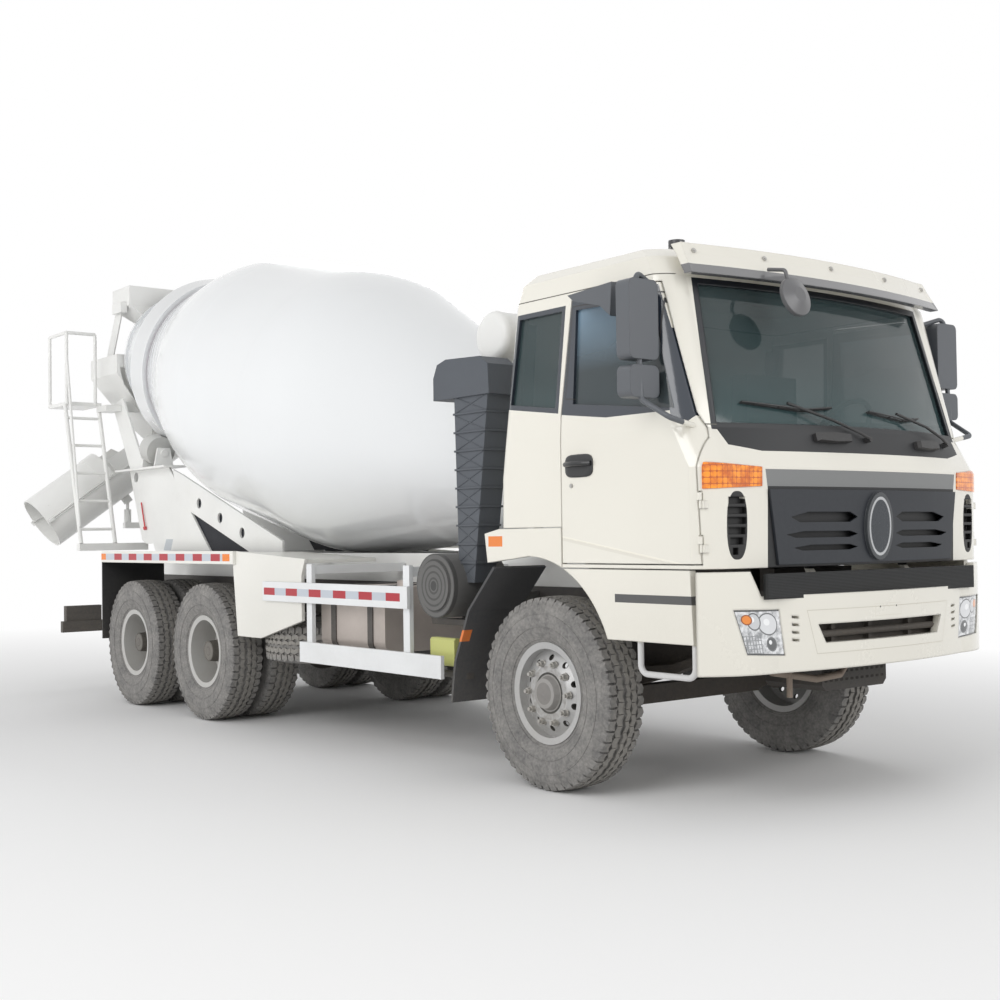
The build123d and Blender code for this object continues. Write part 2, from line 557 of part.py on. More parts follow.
def bumper():
    """Pressed bumper with raised corners, lamp openings and a slot, its brackets and the mesh panel above it."""
    low, high = BUMPER_Z
    skin = Pos(0, 0, low) * extrude(bumper_outline(0), high - low)
    skin -= Pos(0, 0, low - 30) * extrude(bumper_outline(BUMPER_WALL), high - low + 60)
    skin -= cross_plate([(-900, BUMPER_LEDGE), (900, BUMPER_LEDGE), (965, high + 10), (-965, high + 10)],
                        at(1100), at(1600))
    skin -= both_sides(cross_plate(LAMP, at(1150), at(1600)))
    skin -= cross_plate([(-530, 960), (-480, 865), (480, 865), (530, 960)], at(1150), at(1600))
    for n in range(4):
        z = 880 + 38 * n
        skin -= both_sides(cross_plate([(655, z), (700, z + 4), (704, z + 16), (659, z + 12)], at(1150), at(1600)))
    arms = both_sides(block(FRAME_FRONT, at(1445), RAIL_OUTER_Y - 60, RAIL_OUTER_Y, 985, 1060))
    mesh = block(at(1400), at(1425), -890, 890, BUMPER_LEDGE - 15, 1222)
    return skin + arms + mesh


def headlamps():
    """Lamp pots behind the bumper's openings."""
    lamp = Pos(0, 0, 700) * extrude(bumper_outline(6), 430) - Pos(0, 0, 700) * extrude(bumper_outline(44), 430)
    return lamp & both_sides(cross_plate(LAMP, at(1150), at(1600)))


# ---- Sides ----
SPARE_X = MID_AXLE_X + 1150
SPARE_Y = -640
TANK_REAR = SPARE_X + TYRE_R + 18
TANK_LENGTH = 800


def fuel_tank():
    """Aluminium tank on two brackets, with its straps."""
    y0, y1 = RAIL_OUTER_Y + 60, 1120
    front = TANK_REAR + TANK_LENGTH
    body = block(TANK_REAR, front, -y1, -y0, 670, 1100)
    body = fillet(body.edges().filter_by(Axis.X), 70)
    for x in (TANK_REAR + 170, front - 170):
        strap = block(x - 30, x + 30, -y1 - 8, -y0 + 8, 662, 1108)
        body += fillet(strap.edges().filter_by(Axis.X), 75)
        body += block(x - 40, x + 40, -y0 - 20, -RAIL_OUTER_Y, 850, 1060)
    return body + Pos(front - 100, -900, 1110) * Cylinder(45, 60)


def spare_wheel():
    """Spare wheel lying flat below the right rail, on its carrier bar."""
    centre = Pos(SPARE_X, SPARE_Y, RAIL_BOTTOM - 15 - TYRE_W / 2)
    flat = Rot(90, 0, 0)
    wheel = centre * flat * (tyre() + rim_barrel() + turned([(40, -6), (RIM_R - 12, -6), (RIM_R - 12, 6), (40, 6)]))
    return wheel + centre * Pos(0, 0, 80) * Cylinder(42, 160 + 2 * 67)


def side_guard():
    """Left side guard: two rails on posts, with arms to the frame."""
    upper = block(MID_AXLE_X + 1090, MID_AXLE_X + 2950, -1245, -1220, 980, 1120)
    lower = block(MID_AXLE_X + 1620, MID_AXLE_X + 3300, -1245, -1220, 570, 710)
    guard = upper + lower
    for x in (MID_AXLE_X + 1715, MID_AXLE_X + 2905):
        guard += block(x - 35, x + 35, -1220, -1190, 600, 1250)
        guard += block(x - 30, x + 30, -1190, -RAIL_OUTER_Y, 1180, 1240)
    return mirror(guard, Plane.XZ)


# apron of the rear wing: along from the wing's front end, and height
APRON = [(0, 1340), (1080, 1285), (1030, 1170), (1030, 850), (430, 700), (70, 700), (0, 1240)]


def mudguard():
    """Left rear wing over both twin wheels, with its front apron and rear flap."""
    y0, y1 = 620, 1245
    rear, front = REAR_AXLE_X - 580, MID_AXLE_X + 580
    deck = block(rear, front, y0, y1, 1300, 1325)
    skirt = block(rear, front + 50, y1 - 25, y1, 1240, 1340)
    apron = side_plate([(front + dx, z) for dx, z in APRON], y1 - 50, y1 - 25)
    slope = side_plate([(front, 1325), (front + 1070, 1280), (front + 1070, 1255), (front, 1300)], y0, y1 - 25)
    flap = block(rear - 15, rear, y0 + 20, y1 - 10, 550, 1325)
    posts = None
    for x in (REAR_AXLE_X + 590, front + 100):
        post = block(x - 30, x + 30, RAIL_OUTER_Y - 5, y0 + 60, 1240, 1300)
        posts = post if posts is None else posts + post
    return deck + skirt + apron + slope + flap + posts


def front_flap():
    """Left mudflap behind the front wheel, hung from the frame."""
    flap = side_plate(shifted([(-360, 1250), (-610, 990), (-750, 680), (-790, 430), (-772, 430), (-730, 680),
                               (-592, 985), (-345, 1240)]), 800, 1190)
    return flap + block(at(-640), at(-600), RAIL_OUTER_Y, 900, 960, 1000)


def air_intake():
    """Ribbed intake snorkel behind the cab's right corner and the air filter below it."""
    y0, y1 = -1150, -960
    middle = (y0 + y1) / 2
    lower = Pos(at(-690), middle, 1150) * Rectangle(150, 150)
    upper = Pos(at(-610), middle, 2270) * Rectangle(330, 180)
    duct = loft([lower, upper], ruled=True)
    for n in range(9):
        share = (n + 1) / 10
        rib = Rectangle(150 + 180 * share + 16, 150 + 30 * share + 16)
        duct += Pos(at(-690 + 80 * share), middle, 1150 + 1120 * share) * extrude(rib, 12)
    cap = side_plate(shifted([(-970, 2262), (-970, 2400), (-930, 2480), (-840, 2505), (-500, 2490), (-425, 2440),
                              (-415, 2262)]), y0 - 10, y1 + 10)
    can = rod((at(-880), -1230, 1130), (at(-880), -820, 1130), 195)
    lid = rod((at(-880), -1242, 1130), (at(-880), -1228, 1130), 150)
    stay = block(at(-910), at(-850), -830, -RAIL_OUTER_Y, 1000, 1070)
    return duct + cap + can + lid + stay


def battery_box():
    """Battery box, two air reservoirs and the silencer on the left rail."""
    box = block(at(-1750), at(-1150), RAIL_OUTER_Y + 40, 1130, 640, 1060)
    tray = block(at(-1700), at(-1200), RAIL_OUTER_Y, RAIL_OUTER_Y + 60, 820, 1000)
    tanks = rod((at(-2750), 900, 760), (at(-1850), 900, 760), 120)
    tanks += rod((at(-2750), 620, 760), (at(-1850), 620, 760), 120)
    hangers = [block(x - 30, x + 30, RAIL_OUTER_Y, 960, 850, 1000) for x in (at(-2600), at(-2000))]
    return box + tray + tanks + hangers[0] + hangers[1]


def silencer():
    """Exhaust silencer behind the cab on the left, on its bracket."""
    can = rod((at(-950), 560, 800), (at(-950), 1130, 800), 170)
    return can + block(at(-990), at(-910), RAIL_OUTER_Y, 640, 930, 1010)


# ---- Drum and what carries it ----
AXIS_DIR = (-cos(radians(DRUM_TILT)), 0, sin(radians(DRUM_TILT)))


def on_axis(s):
    """Point on the drum's axis, s behind its front flange."""
    return (DRUM_X + AXIS_DIR[0] * s, 0, DRUM_Z + AXIS_DIR[2] * s)


def about_axis(points):
    """Body turned about the drum's axis from an outline of radius and place along it."""
    body = revolve(make_face(Polyline([(r, 0, s) for s, r in points], close=True)), Axis.Z)
    return Plane(on_axis(0), x_dir=(0, 1, 0), z_dir=AXIS_DIR) * body


RING_FROM, RING_TO = 5200, 5480
DRUM_END = 6150
NECK_R = RING_R - RING_RISE
MOUTH_R = RING_R - 235
DRUM_SHAFT_R = 80
DRUM_ROUND = 2300            # round between the cones and the cylinder
# corners of the drum's outside: place along the axis, radius
DRUM_PROFILE = [(0, 400), (2350, DRUM_R), (4150, DRUM_R), (RING_FROM, NECK_R), (DRUM_END, MOUTH_R)]


def drum_form(inset, end=0):
    """Solid of the drum's outside moved in by inset, its cones running into the cylinder in large arcs."""
    (s0, r0), (s1, r1), (s2, r2), (s3, r3), (s4, r4) = [(s, r - inset) for s, r in DRUM_PROFILE]
    edge = FilletPolyline((r0, 0, s0 + 2 * inset), (r1, 0, s1), (r2, 0, s2), (r3, 0, s3), radius=[DRUM_ROUND, DRUM_ROUND])
    rest = Polyline((r3, 0, s3), (r4, 0, s4 + end), (0, 0, s4 + end), (0, 0, s0 + 2 * inset), (r0, 0, s0 + 2 * inset))
    body = revolve(make_face(edge + rest), Axis.Z)
    return Plane(on_axis(0), x_dir=(0, 1, 0), z_dir=AXIS_DIR) * body


def drum():
    """Hollow drum of two cones and a cylinder, its roller ring, drive shaft and mouth rim."""
    wall = drum_form(0) - drum_form(DRUM_WALL, 50)
    ring = about_axis([(RING_FROM, NECK_R - 10), (RING_FROM, RING_R), (RING_TO, RING_R), (RING_TO, NECK_R - 70)])
    ring -= drum_form(DRUM_WALL / 2, 50)
    rim = about_axis([(DRUM_END - 60, MOUTH_R - 5), (DRUM_END - 60, MOUTH_R + 34), (DRUM_END, MOUTH_R + 22),
                      (DRUM_END, MOUTH_R - 5)])
    shaft = about_axis([(-90, 0), (-90, DRUM_SHAFT_R), (10, DRUM_SHAFT_R), (10, 0)])
    return wall + ring + rim + shaft


def roller_centre(side):
    mid = (RING_FROM + RING_TO) / 2
    x, _, z = on_axis(mid)
    down = (RING_R + ROLLER_R + 1) * cos(radians(ROLLER_ANGLE))
    across = side * (RING_R + ROLLER_R + 1) * sin(radians(ROLLER_ANGLE))
    return (x - AXIS_DIR[2] * down, across, z + AXIS_DIR[0] * down)


def along_axis(point, length, radius):
    """Bar along the drum's direction, centred on a point."""
    half = length / 2
    start = tuple(p - half * d for p, d in zip(point, AXIS_DIR))
    end = tuple(p + half * d for p, d in zip(point, AXIS_DIR))
    return rod(start, end, radius)


def roller(side):
    """Support roller, bored for its pin."""
    centre = roller_centre(side)
    return along_axis(centre, ROLLER_W, ROLLER_R) - along_axis(centre, 2 * ROLLER_W, ROLLER_PIN_R + RUN_GAP)


# pedestal side plate: along and up
PEDESTAL = [(-6340, SUBFRAME_TOP), (-5180, SUBFRAME_TOP), (-6060, PEDESTAL_TOP), (-6950, PEDESTAL_TOP),
            (-6660, 1436), (-6560, 1400), (-6400, 1400)]


def rear_pedestal():
    """Side plates with top flanges, posts, roller cheeks, pins and guards, and the sloping braces."""
    inner, outer = PEDESTAL_Y - PLATE_T / 2, PEDESTAL_Y + PLATE_T / 2
    plate = side_plate(shifted(PEDESTAL), inner, outer)
    plate -= Pos(at(-6790), PEDESTAL_Y, 2050) * Rot(90, 0, 0) * Cylinder(50, 60)
    brace = side_plate(shifted([(-5960, 2090), (-5750, 2030), (-3900, 1410), (-3900, SUBFRAME_TOP), (-4430, SUBFRAME_TOP),
                                (-5830, 1765)]), inner, outer)
    for x, z in ((-5414, 1757), (-5004, 1618), (-4597, 1483)):
        brace -= Pos(at(x), PEDESTAL_Y, z) * Rot(90, 0, 0) * Cylinder(46, 60)
    top = block(at(-7080), at(-5930), PEDESTAL_Y - 110, PEDESTAL_Y + 110, PEDESTAL_TOP - PLATE_T, PEDESTAL_TOP)
    post = side_plate(shifted([(-6850, PEDESTAL_TOP), (-6510, PEDESTAL_TOP), (-7030, 2850), (-7270, 2790)]),
                      outer + 15, outer + 15 + PLATE_T)
    side = plate + brace + top + post
    for x in (-6150, -5400, -4000):
        side += block(at(x) - 50, at(x) + 50, RAIL_OUTER_Y - 5, outer, SUBFRAME_TOP - 80, SUBFRAME_TOP)
    centre = roller_centre(1)
    side += along_axis(centre, ROLLER_W + 170, ROLLER_PIN_R)
    for reach in (-ROLLER_W / 2 - 55, ROLLER_W / 2 + 55):
        spot = tuple(p + reach * d for p, d in zip(centre, AXIS_DIR))
        side += cross_plate([(spot[1] - 95, PEDESTAL_TOP), (spot[1] + 95, PEDESTAL_TOP), (spot[1] + 62, spot[2] + 45),
                             (spot[1] - 62, spot[2] + 45)], spot[0] - 12, spot[0] + 12)
    return both_sides(side)


def drum_drive():
    """Front pedestal with the reduction gearbox and its hydraulic motor."""
    stand = both_sides(side_plate(shifted([(-960, SUBFRAME_TOP), (-380, SUBFRAME_TOP), (-560, 1700), (-800, 1700)]),
                                  330, 350))
    stand += block(at(-800), at(-560), -350, 350, 1540, 1600)
    case = about_axis([(-420, 0), (-420, 160), (-300, 250), (-20, 250), (-20, DRUM_SHAFT_R + RUN_GAP),
                       (-100, DRUM_SHAFT_R + RUN_GAP), (-100, 0)])
    return stand + case


def water_tank():
    """Cross-mounted water tank behind the cab on its two posts."""
    tank = rod((at(-725), -905, 2655), (at(-725), 905, 2655), 160)
    tank = fillet(tank.edges().filter_by(GeomType.CIRCLE), 45)
    posts = both_sides(block(at(-755), at(-695), 540, 600, SUBFRAME_TOP + 60, 2530))
    feet = both_sides(block(at(-775), at(-675), 350, 600, SUBFRAME_TOP, SUBFRAME_TOP + 60))
    return tank + posts + feet


def shell_loft(sections, wall):
    """Ruled open-ended shell; each section gives height, back, front and half width."""
    solids = []
    for inset in (0, wall):
        faces = []
        for number, (z, back, front, half) in enumerate(sections):
            shift = {0: 1, len(sections) - 1: -1}.get(number, 0) * (1 if inset else 0)
            faces.append(Pos(at((back + front) / 2), 0, z + shift)
                         * Rectangle(front - back - 2 * inset, 2 * half - 2 * inset))
        solids.append(loft(faces, ruled=True))
    return solids[0] - solids[1]


# columns: height, back, front, half width; the funnel's mouth hangs inside the drum's mouth
FUNNEL = [(3960, -7310, -6890, 600), (3770, -7310, -6890, 600), (3430, -6960, -6740, 180)]
COLLECTOR = [(3280, -7640, -6970, 700), (3090, -7640, -6970, 700), (2660, -7620, -6990, 330),
             (2500, -7610, -7390, 150)]
HOPPER_WALL = 12
DRUM_ROOM = 25               # clearance of the collector round the turning drum


def hopper():
    """Charging funnel over the drum's mouth, the collector below it and the arms between them."""
    funnel = shell_loft(FUNNEL, HOPPER_WALL)
    low = shell_loft(COLLECTOR, HOPPER_WALL) - drum_form(-DRUM_ROOM - 34, DRUM_ROOM)
    arms = side_plate(shifted([(-7500, 3200), (-7330, 3200), (-7010, 3790), (-7170, 3790)]), 600, 600 + HOPPER_WALL)
    arms += block(at(-7440), at(-7380), 600, 700, 3200, 3260)
    hinge = block(at(-7180), at(-6960), 595, 660, 3700, 3800)
    ties = block(at(-7230), at(-7130), 400, PEDESTAL_Y + PLATE_T / 2 + 15, 2730, 2830)
    ties -= drum_form(-DRUM_ROOM - 34, DRUM_ROOM)
    return funnel + low + both_sides(arms + hinge + ties)


def ladder():
    """Right rear ladder with its handrail, inspection platform and guard rail."""
    foot = (at(-6900), 1410)
    head = (at(-7300), 2790)
    near, far = -1100, -760
    body = None
    for y in (near, far):
        stile = rod((foot[0], y, foot[1]), (head[0], y, head[1]), 20)
        body = stile if body is None else body + stile
    for n in range(5):
        t = (n + 0.5) / 5
        x = foot[0] + (head[0] - foot[0]) * t
        z = foot[1] + (head[1] - foot[1]) * t
        body += rod((x, near, z), (x, far, z), 14)
    body += block(at(-7750), at(-7270), near, far + 20, 2780, 2815)
    top = 3500
    for x, y in ((-7740, near + 10), (-7280, near + 10), (-7280, -800)):
        body += rod((at(x), y, 2790), (at(x), y, top), 17)
    body += rod((at(-7740), near + 10, top), (at(-7280), near + 10, top), 17)
    body += rod((at(-7280), near + 10, top), (at(-7280), -800, top), 17)
    body += rod((at(-7280), near + 10, 3300), (foot[0] - 30, near, foot[1] + 160), 13)
    body += block(at(-7300), at(-7050), -780, -PEDESTAL_Y - PLATE_T / 2 - 15 - PLATE_T, 2720, 2780)
    body += block(at(-6960), at(-6880), -1120, -RAIL_OUTER_Y + 5, 1340, 1410)
    return body


def underrun_bar():
    """Rear underrun beam on its two arms, with the tail lamps."""
    beam = block(at(-7450), at(-7390), -1100, 1100, 530, 640)
    arms = both_sides(side_plate(shifted([(-7395, 530), (-7395, 640), (-6700, 1060), (-6600, 1060), (-6600, 900)]),
                                 RAIL_OUTER_Y, RAIL_OUTER_Y + 40))
    lamps = both_sides(block(at(-7470), at(-7400), 700, 1060, 640, 790))
    return beam + arms + lamps


# ---- Chute ----
CHUTE_RIM = CHUTE_BED + CHUTE_R      # rim of the trough above the tilt hinge
LUG_Y = 150                          # inner faces of the trough's hinge lugs
FLIP_Z = CHUTE_RIM + FLIP_GAP / 2    # extension's hinge, above the trough's end
FLIP_PIN_R = 8
JACK_X = 420                         # lifting jack's eye along the chute
JACK_Z = CHUTE_BED - 50


def chute_place(slope):
    """Chute's own frame: X down the chute, origin on the tilt hinge."""
    return Pos(CHUTE_PIVOT_X, 0, CHUTE_HINGE_Z) * Rot(0, 0, 180 + CHUTE_AZIMUTH) * Rot(0, slope, 0)


def half_round(x0, x1, radius, up):
    """Half-round trough; up is 1 for open at the top, -1 for open below."""
    ring = Circle(radius) - Circle(radius - CHUTE_WALL)
    ring = ring & (Pos(0, -up * radius / 2) * Rectangle(2 * radius, radius))
    return Pos(x0, 0, 0) * (Plane(origin=(0, 0, 0), x_dir=(0, 1, 0), z_dir=(1, 0, 0)) * extrude(ring, x1 - x0))


def chute_main():
    """Main trough with rims, its raised feeding walls, hinge lugs, jack lugs and flip hinge eyes."""
    trough = Pos(0, 0, CHUTE_RIM) * half_round(CHUTE_ROOT, CHUTE_END, CHUTE_R, 1)
    rims = both_sides(block(CHUTE_ROOT, CHUTE_END, CHUTE_R - CHUTE_WALL, CHUTE_R + 15, CHUTE_RIM - 8, CHUTE_RIM))
    walls = both_sides(side_plate([(60, CHUTE_RIM - 5), (EXTENSION_START - 20, CHUTE_RIM - 5),
                                   (EXTENSION_START - 20, CHUTE_RIM + 160), (160, CHUTE_RIM + 160)],
                                  CHUTE_R - CHUTE_WALL, CHUTE_R))
    lugs = both_sides(block(-40, 60, LUG_Y, LUG_Y + PLATE_T, -45, CHUTE_BED + 62))
    lugs -= rod((0, -200, 0), (0, 200, 0), 20 + RUN_GAP)
    straps = both_sides(block(JACK_X - 40, JACK_X + 40, 22, 34, JACK_Z - 20, CHUTE_BED + 6))
    y = CHUTE_R + 11
    eye = block(CHUTE_END - 14, CHUTE_END + 12, y, y + 12, CHUTE_RIM - 30, FLIP_Z + 12)
    eye += block(CHUTE_END - 14, CHUTE_END, CHUTE_R - 5, y + 12, CHUTE_RIM - 30, CHUTE_RIM)
    eye += rod((CHUTE_END, y, FLIP_Z), (CHUTE_END, y + 36, FLIP_Z), FLIP_PIN_R)
    return chute_place(CHUTE_SLOPE) * (trough + rims + walls + lugs + straps + both_sides(eye))


def chute_extension():
    """Folded extension, upside down on the main trough."""
    end = CHUTE_END - 1
    z = CHUTE_RIM + FLIP_GAP
    trough = Pos(0, 0, z) * half_round(EXTENSION_START, end, EXTENSION_R, -1)
    rims = both_sides(block(EXTENSION_START, end, EXTENSION_R - CHUTE_WALL, CHUTE_R + 5, z, z + 8))
    y = CHUTE_R + 29
    eye = block(CHUTE_END - 60, CHUTE_END - 30, EXTENSION_R, y + 12, z, z + 12)
    eye += block(CHUTE_END - 60, CHUTE_END + 12, y, y + 12, FLIP_Z - 12, z + 12)
    eye -= rod((CHUTE_END, y - 1, FLIP_Z), (CHUTE_END, y + 13, FLIP_Z), FLIP_PIN_R + RUN_GAP)
    collar = Pos(0, 0, z) * half_round(EXTENSION_START, EXTENSION_START + 140, EXTENSION_R + 8, -1)
    return chute_place(CHUTE_SLOPE) * (trough + rims + collar + both_sides(eye))


def chute_swivel():
    """Swivel yoke on the vertical post, with the tilt hinge pins and the lifting jack."""
    yoke = both_sides(block(-45, 45, LUG_Y - 40, LUG_Y - 20, -360, 40) + rod((0, LUG_Y - 40, 0), (0, LUG_Y + 30, 0), 20))
    yoke += block(-60, 60, -LUG_Y + 20, LUG_Y - 20, -390, -360)
    yoke += Pos(0, 0, -450) * Cylinder(60, 140) - Pos(0, 0, -450) * Cylinder(POST_R + RUN_GAP, 160)
    yoke += block(50, 400, -40, 40, -500, -440)
    slope = radians(CHUTE_SLOPE)
    eye_x = JACK_X * cos(slope) + JACK_Z * sin(slope)
    eye_z = JACK_Z * cos(slope) - JACK_X * sin(slope)
    yoke += rod((eye_x, 0, -470), (eye_x, 0, eye_z - 90), 36) + rod((eye_x, 0, eye_z - 95), (eye_x, 0, eye_z), 16)
    yoke += rod((eye_x, -17, eye_z), (eye_x, 17, eye_z), 26)
    return chute_place(0) * yoke


POST_R = 35


def chute_post():
    """Bracket behind the frame with the swivel's vertical post."""
    z = CHUTE_HINGE_Z - 525
    post = Pos(CHUTE_PIVOT_X, 0, z + 60) * Cylinder(POST_R, 130)
    arm = side_plate([(CHUTE_PIVOT_X - 60, z), (CHUTE_PIVOT_X - 60, z - 50), (FRAME_REAR - 60, z - 160),
                      (FRAME_REAR - 60, z)], -80, 80)
    return post + arm + block(FRAME_REAR - 100, FRAME_REAR - 60, -80, 80, RAIL_TOP + 30, z)


# ---- Build ----
wheels()
cab_parts()
PARTS = {"front_axle": front_axle, "drive_axles": drive_axles, "frame_rails": frame_rails,
         "subframe": subframe, "engine": engine, "interior": interior, "sun_visor": visor,
         "front_bumper": bumper, "headlamps": headlamps, "fuel_tank": fuel_tank,
         "spare_wheel": spare_wheel, "air_intake": air_intake, "battery_box": battery_box,
         "silencer": silencer, "drum": drum, "rear_pedestal": rear_pedestal, "drum_drive": drum_drive,
         "water_tank": water_tank, "hopper": hopper, "ladder": ladder, "underrun_bar": underrun_bar,
         "chute_main": chute_main, "chute_extension": chute_extension, "chute_swivel": chute_swivel,
         "chute_post": chute_post}
for name, make in PARTS.items():
    save(make(), name)
# columns: name, shape made for the left side
PAIRS = [("front_fenders", fenders), ("rear_mudguards", mudguard), ("front_flaps", front_flap),
         ("side_guards", side_guard)]
for name, make in PAIRS:
    save(both_sides(make()), name)
save(knuckle(), "knuckle_left")
save(mirror(knuckle(), Plane.XZ), "knuckle_right")
save(roller(1), "roller_left")
save(roller(-1), "roller_right")
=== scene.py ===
import bpy
import bmesh
import math
import random
from mathutils import Matrix, Vector
from mathutils.bvhtree import BVHTree


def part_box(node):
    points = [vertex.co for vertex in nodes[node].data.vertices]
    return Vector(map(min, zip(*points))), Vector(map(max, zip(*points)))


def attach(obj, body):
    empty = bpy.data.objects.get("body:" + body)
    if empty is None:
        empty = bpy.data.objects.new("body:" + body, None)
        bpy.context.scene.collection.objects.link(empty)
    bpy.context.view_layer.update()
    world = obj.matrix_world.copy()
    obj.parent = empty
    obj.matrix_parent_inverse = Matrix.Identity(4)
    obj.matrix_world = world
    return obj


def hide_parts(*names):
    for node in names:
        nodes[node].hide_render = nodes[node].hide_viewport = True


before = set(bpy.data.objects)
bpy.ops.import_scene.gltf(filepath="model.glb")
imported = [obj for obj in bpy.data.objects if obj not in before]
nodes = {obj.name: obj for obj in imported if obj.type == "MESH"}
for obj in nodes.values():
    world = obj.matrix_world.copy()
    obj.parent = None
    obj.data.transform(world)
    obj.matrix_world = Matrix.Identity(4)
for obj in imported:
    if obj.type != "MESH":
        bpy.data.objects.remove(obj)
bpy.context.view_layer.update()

# ---------------------------------------------------------------------------
# The view: from a stand off the right front corner, with the lens at chest
# height, looking almost level along the truck's side.
wheel_low, wheel_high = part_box("front_tyre_right")
front_axle_x = (wheel_low.x + wheel_high.x) / 2
STAND = Vector((front_axle_x + 5.764, -5.987, 1.427))
heading, pitch, roll = math.radians(51.588), math.radians(-1.525), math.radians(-0.818)
ahead = Vector((-math.sin(heading) * math.cos(pitch), math.cos(heading) * math.cos(pitch), -math.sin(pitch)))
level = Vector((math.cos(heading), math.sin(heading), 0))
upright = level.cross(ahead)
across = math.cos(roll) * level + math.sin(roll) * upright
upward = math.cos(roll) * upright - math.sin(roll) * level
camera = bpy.data.objects.new("view", bpy.data.cameras.new("view"))
camera.matrix_world = Matrix.Translation(STAND) @ Matrix((across, upward, -ahead)).transposed().to_4x4()
camera.data.lens = 48.43
camera.data.clip_end = 200
bpy.context.collection.objects.link(camera)
bpy.context.scene.camera = camera
bpy.context.scene.view_settings.view_transform = "Standard"

# ---------------------------------------------------------------------------
# The studio: a pale floor without a seam that fades to white away from the
# truck, under soft even light.


def feed(step, **inputs):
    """Gives a node's sockets their values or links; a name such as i0 stands for a socket's number."""
    for key, value in inputs.items():
        target = step.inputs[int(key[1:]) if key[1:].isdigit() else key.replace("_", " ")]
        if isinstance(value, Signal):
            value.tree.links.new(value.socket, target)
        else:
            target.default_value = value


class Signal:
    """One socket of a material: sums on it add Math nodes, and node() adds any other node."""

    def __init__(self, tree, socket=None):
        self.tree, self.socket = tree, socket

    def node(self, kind, settings=None, out=0, **inputs):
        step = self.tree.nodes.new("ShaderNode" + kind)
        for key, value in (settings or {}).items():
            setattr(step, key, value)
        feed(step, **inputs)
        return Signal(self.tree, step.outputs[out])

    def math(self, operation, *values):
        return self.node("Math", {"operation": operation}, **{f"i{k}": value for k, value in enumerate(values)})

    def __abs__(self):
        return self.math("ABSOLUTE", self)

    def __gt__(self, other):
        return self.math("GREATER_THAN", self, other)

    def __lt__(self, other):
        return self.math("LESS_THAN", self, other)


for symbol, operation in (("add", "ADD"), ("sub", "SUBTRACT"), ("mul", "MULTIPLY")):
    setattr(Signal, f"__{symbol}__", lambda self, other, name=operation: self.math(name, self, other))
    setattr(Signal, f"__r{symbol}__", lambda self, other, name=operation: self.math(name, other, self))


def rgba(colour):
    return tuple(colour) + (1,)


def finish(name):
    """New material with its shader, and a Signal to start from."""
    material = bpy.data.materials.new(name)
    material.use_nodes = True
    return material, material.node_tree.nodes["Principled BSDF"], Signal(material.node_tree)


def span(s, value, low, high, to_low=0.0, to_high=1.0):
    """Value stretched from one range to another, and held at its ends."""
    return s.node("MapRange", i0=value, i1=low, i2=high, i3=to_low, i4=to_high)


def seen(s):
    """1 on what the camera shows, directly or in a mirror, and 0 on the light that falls on the truck."""
    return s.math("MAXIMUM", s.node("LightPath", out=0), s.node("LightPath", out=3))


def scaled(s, vector, shares):
    """The vector with each of its parts multiplied by its own share."""
    return s.node("VectorMath", {"operation": "MULTIPLY"}, i0=vector, i1=shares)


def length_of(s, vector):
    return s.node("VectorMath", {"operation": "LENGTH"}, out=1, i0=vector)


FLOOR_REACH = 90
FADE = (3.0, 8.5)  # metres from the truck's middle where the floor starts to turn white, and is white
SKY_LIGHT = 0.54  # the share of white that the surroundings throw on the truck
floor_mesh = bpy.data.meshes.new("studio_floor")
floor_mesh.from_pydata([(u * FLOOR_REACH, v * FLOOR_REACH, 0) for u, v in ((-1, -1), (1, -1), (1, 1), (-1, 1))],
                       [], [(0, 1, 2, 3)])
floor = bpy.data.objects.new("studio_floor", floor_mesh)
bpy.context.collection.objects.link(floor)
floor_paint, shader, s = finish("studio_floor")
feed(shader, Base_Color=rgba((0.90, 0.90, 0.90)), Roughness=0.9, Specular_IOR_Level=0.1)
place = s.node("TexCoord", out=3)
distance = length_of(s, scaled(s, place, (0.62, 1, 0)))
white = s.node("Emission", Color=rgba((1, 1, 1)), Strength=1.0)
mixed = s.node("MixShader", Fac=span(s, distance, *FADE) * seen(s), i1=Signal(s.tree, shader.outputs[0]),
               i2=white)
feed(s.tree.nodes["Material Output"], Surface=mixed)
floor.data.materials.append(floor_paint)

world = bpy.data.worlds.new("studio")
bpy.context.scene.world = world
world.use_nodes = True
sky = Signal(world.node_tree)
backdrop = world.node_tree.nodes["Background"]
feed(backdrop, Color=rgba((1, 1, 1)), Strength=seen(sky) * (1 - SKY_LIGHT) + SKY_LIGHT)


def softbox(name, place, target, size, watts, mirrored=True):
    """Wide lamp aimed at a target; it stays out of reflections where mirrored is False."""
    lamp = bpy.data.lights.new(name, "AREA")
    lamp.shape, lamp.size, lamp.size_y, lamp.energy = "RECTANGLE", size[0], size[1], watts
    holder = bpy.data.objects.new(name, lamp)
    holder.location = place
    holder.rotation_euler = (Vector(target) - Vector(place)).to_track_quat("-Z", "Y").to_euler()
    holder.visible_glossy = mirrored
    bpy.context.collection.objects.link(holder)


softbox("key", (6, -12, 8), (0, 0, 1.5), (9, 7), 640)
softbox("front_fill", (14, 2, 5), (3, 0, 1.5), (6, 5), 330)
softbox("side_fill", (-9, -12, 5), (-5, 0, 1.6), (8, 5), 150, False)
softbox("low_fill", (-3, -9, 0.6), (-3, 0, 1.9), (9, 1), 170, False)
softbox("back_fill", (-11, 9, 8), (-1, 0, 1.5), (8, 6), 420)

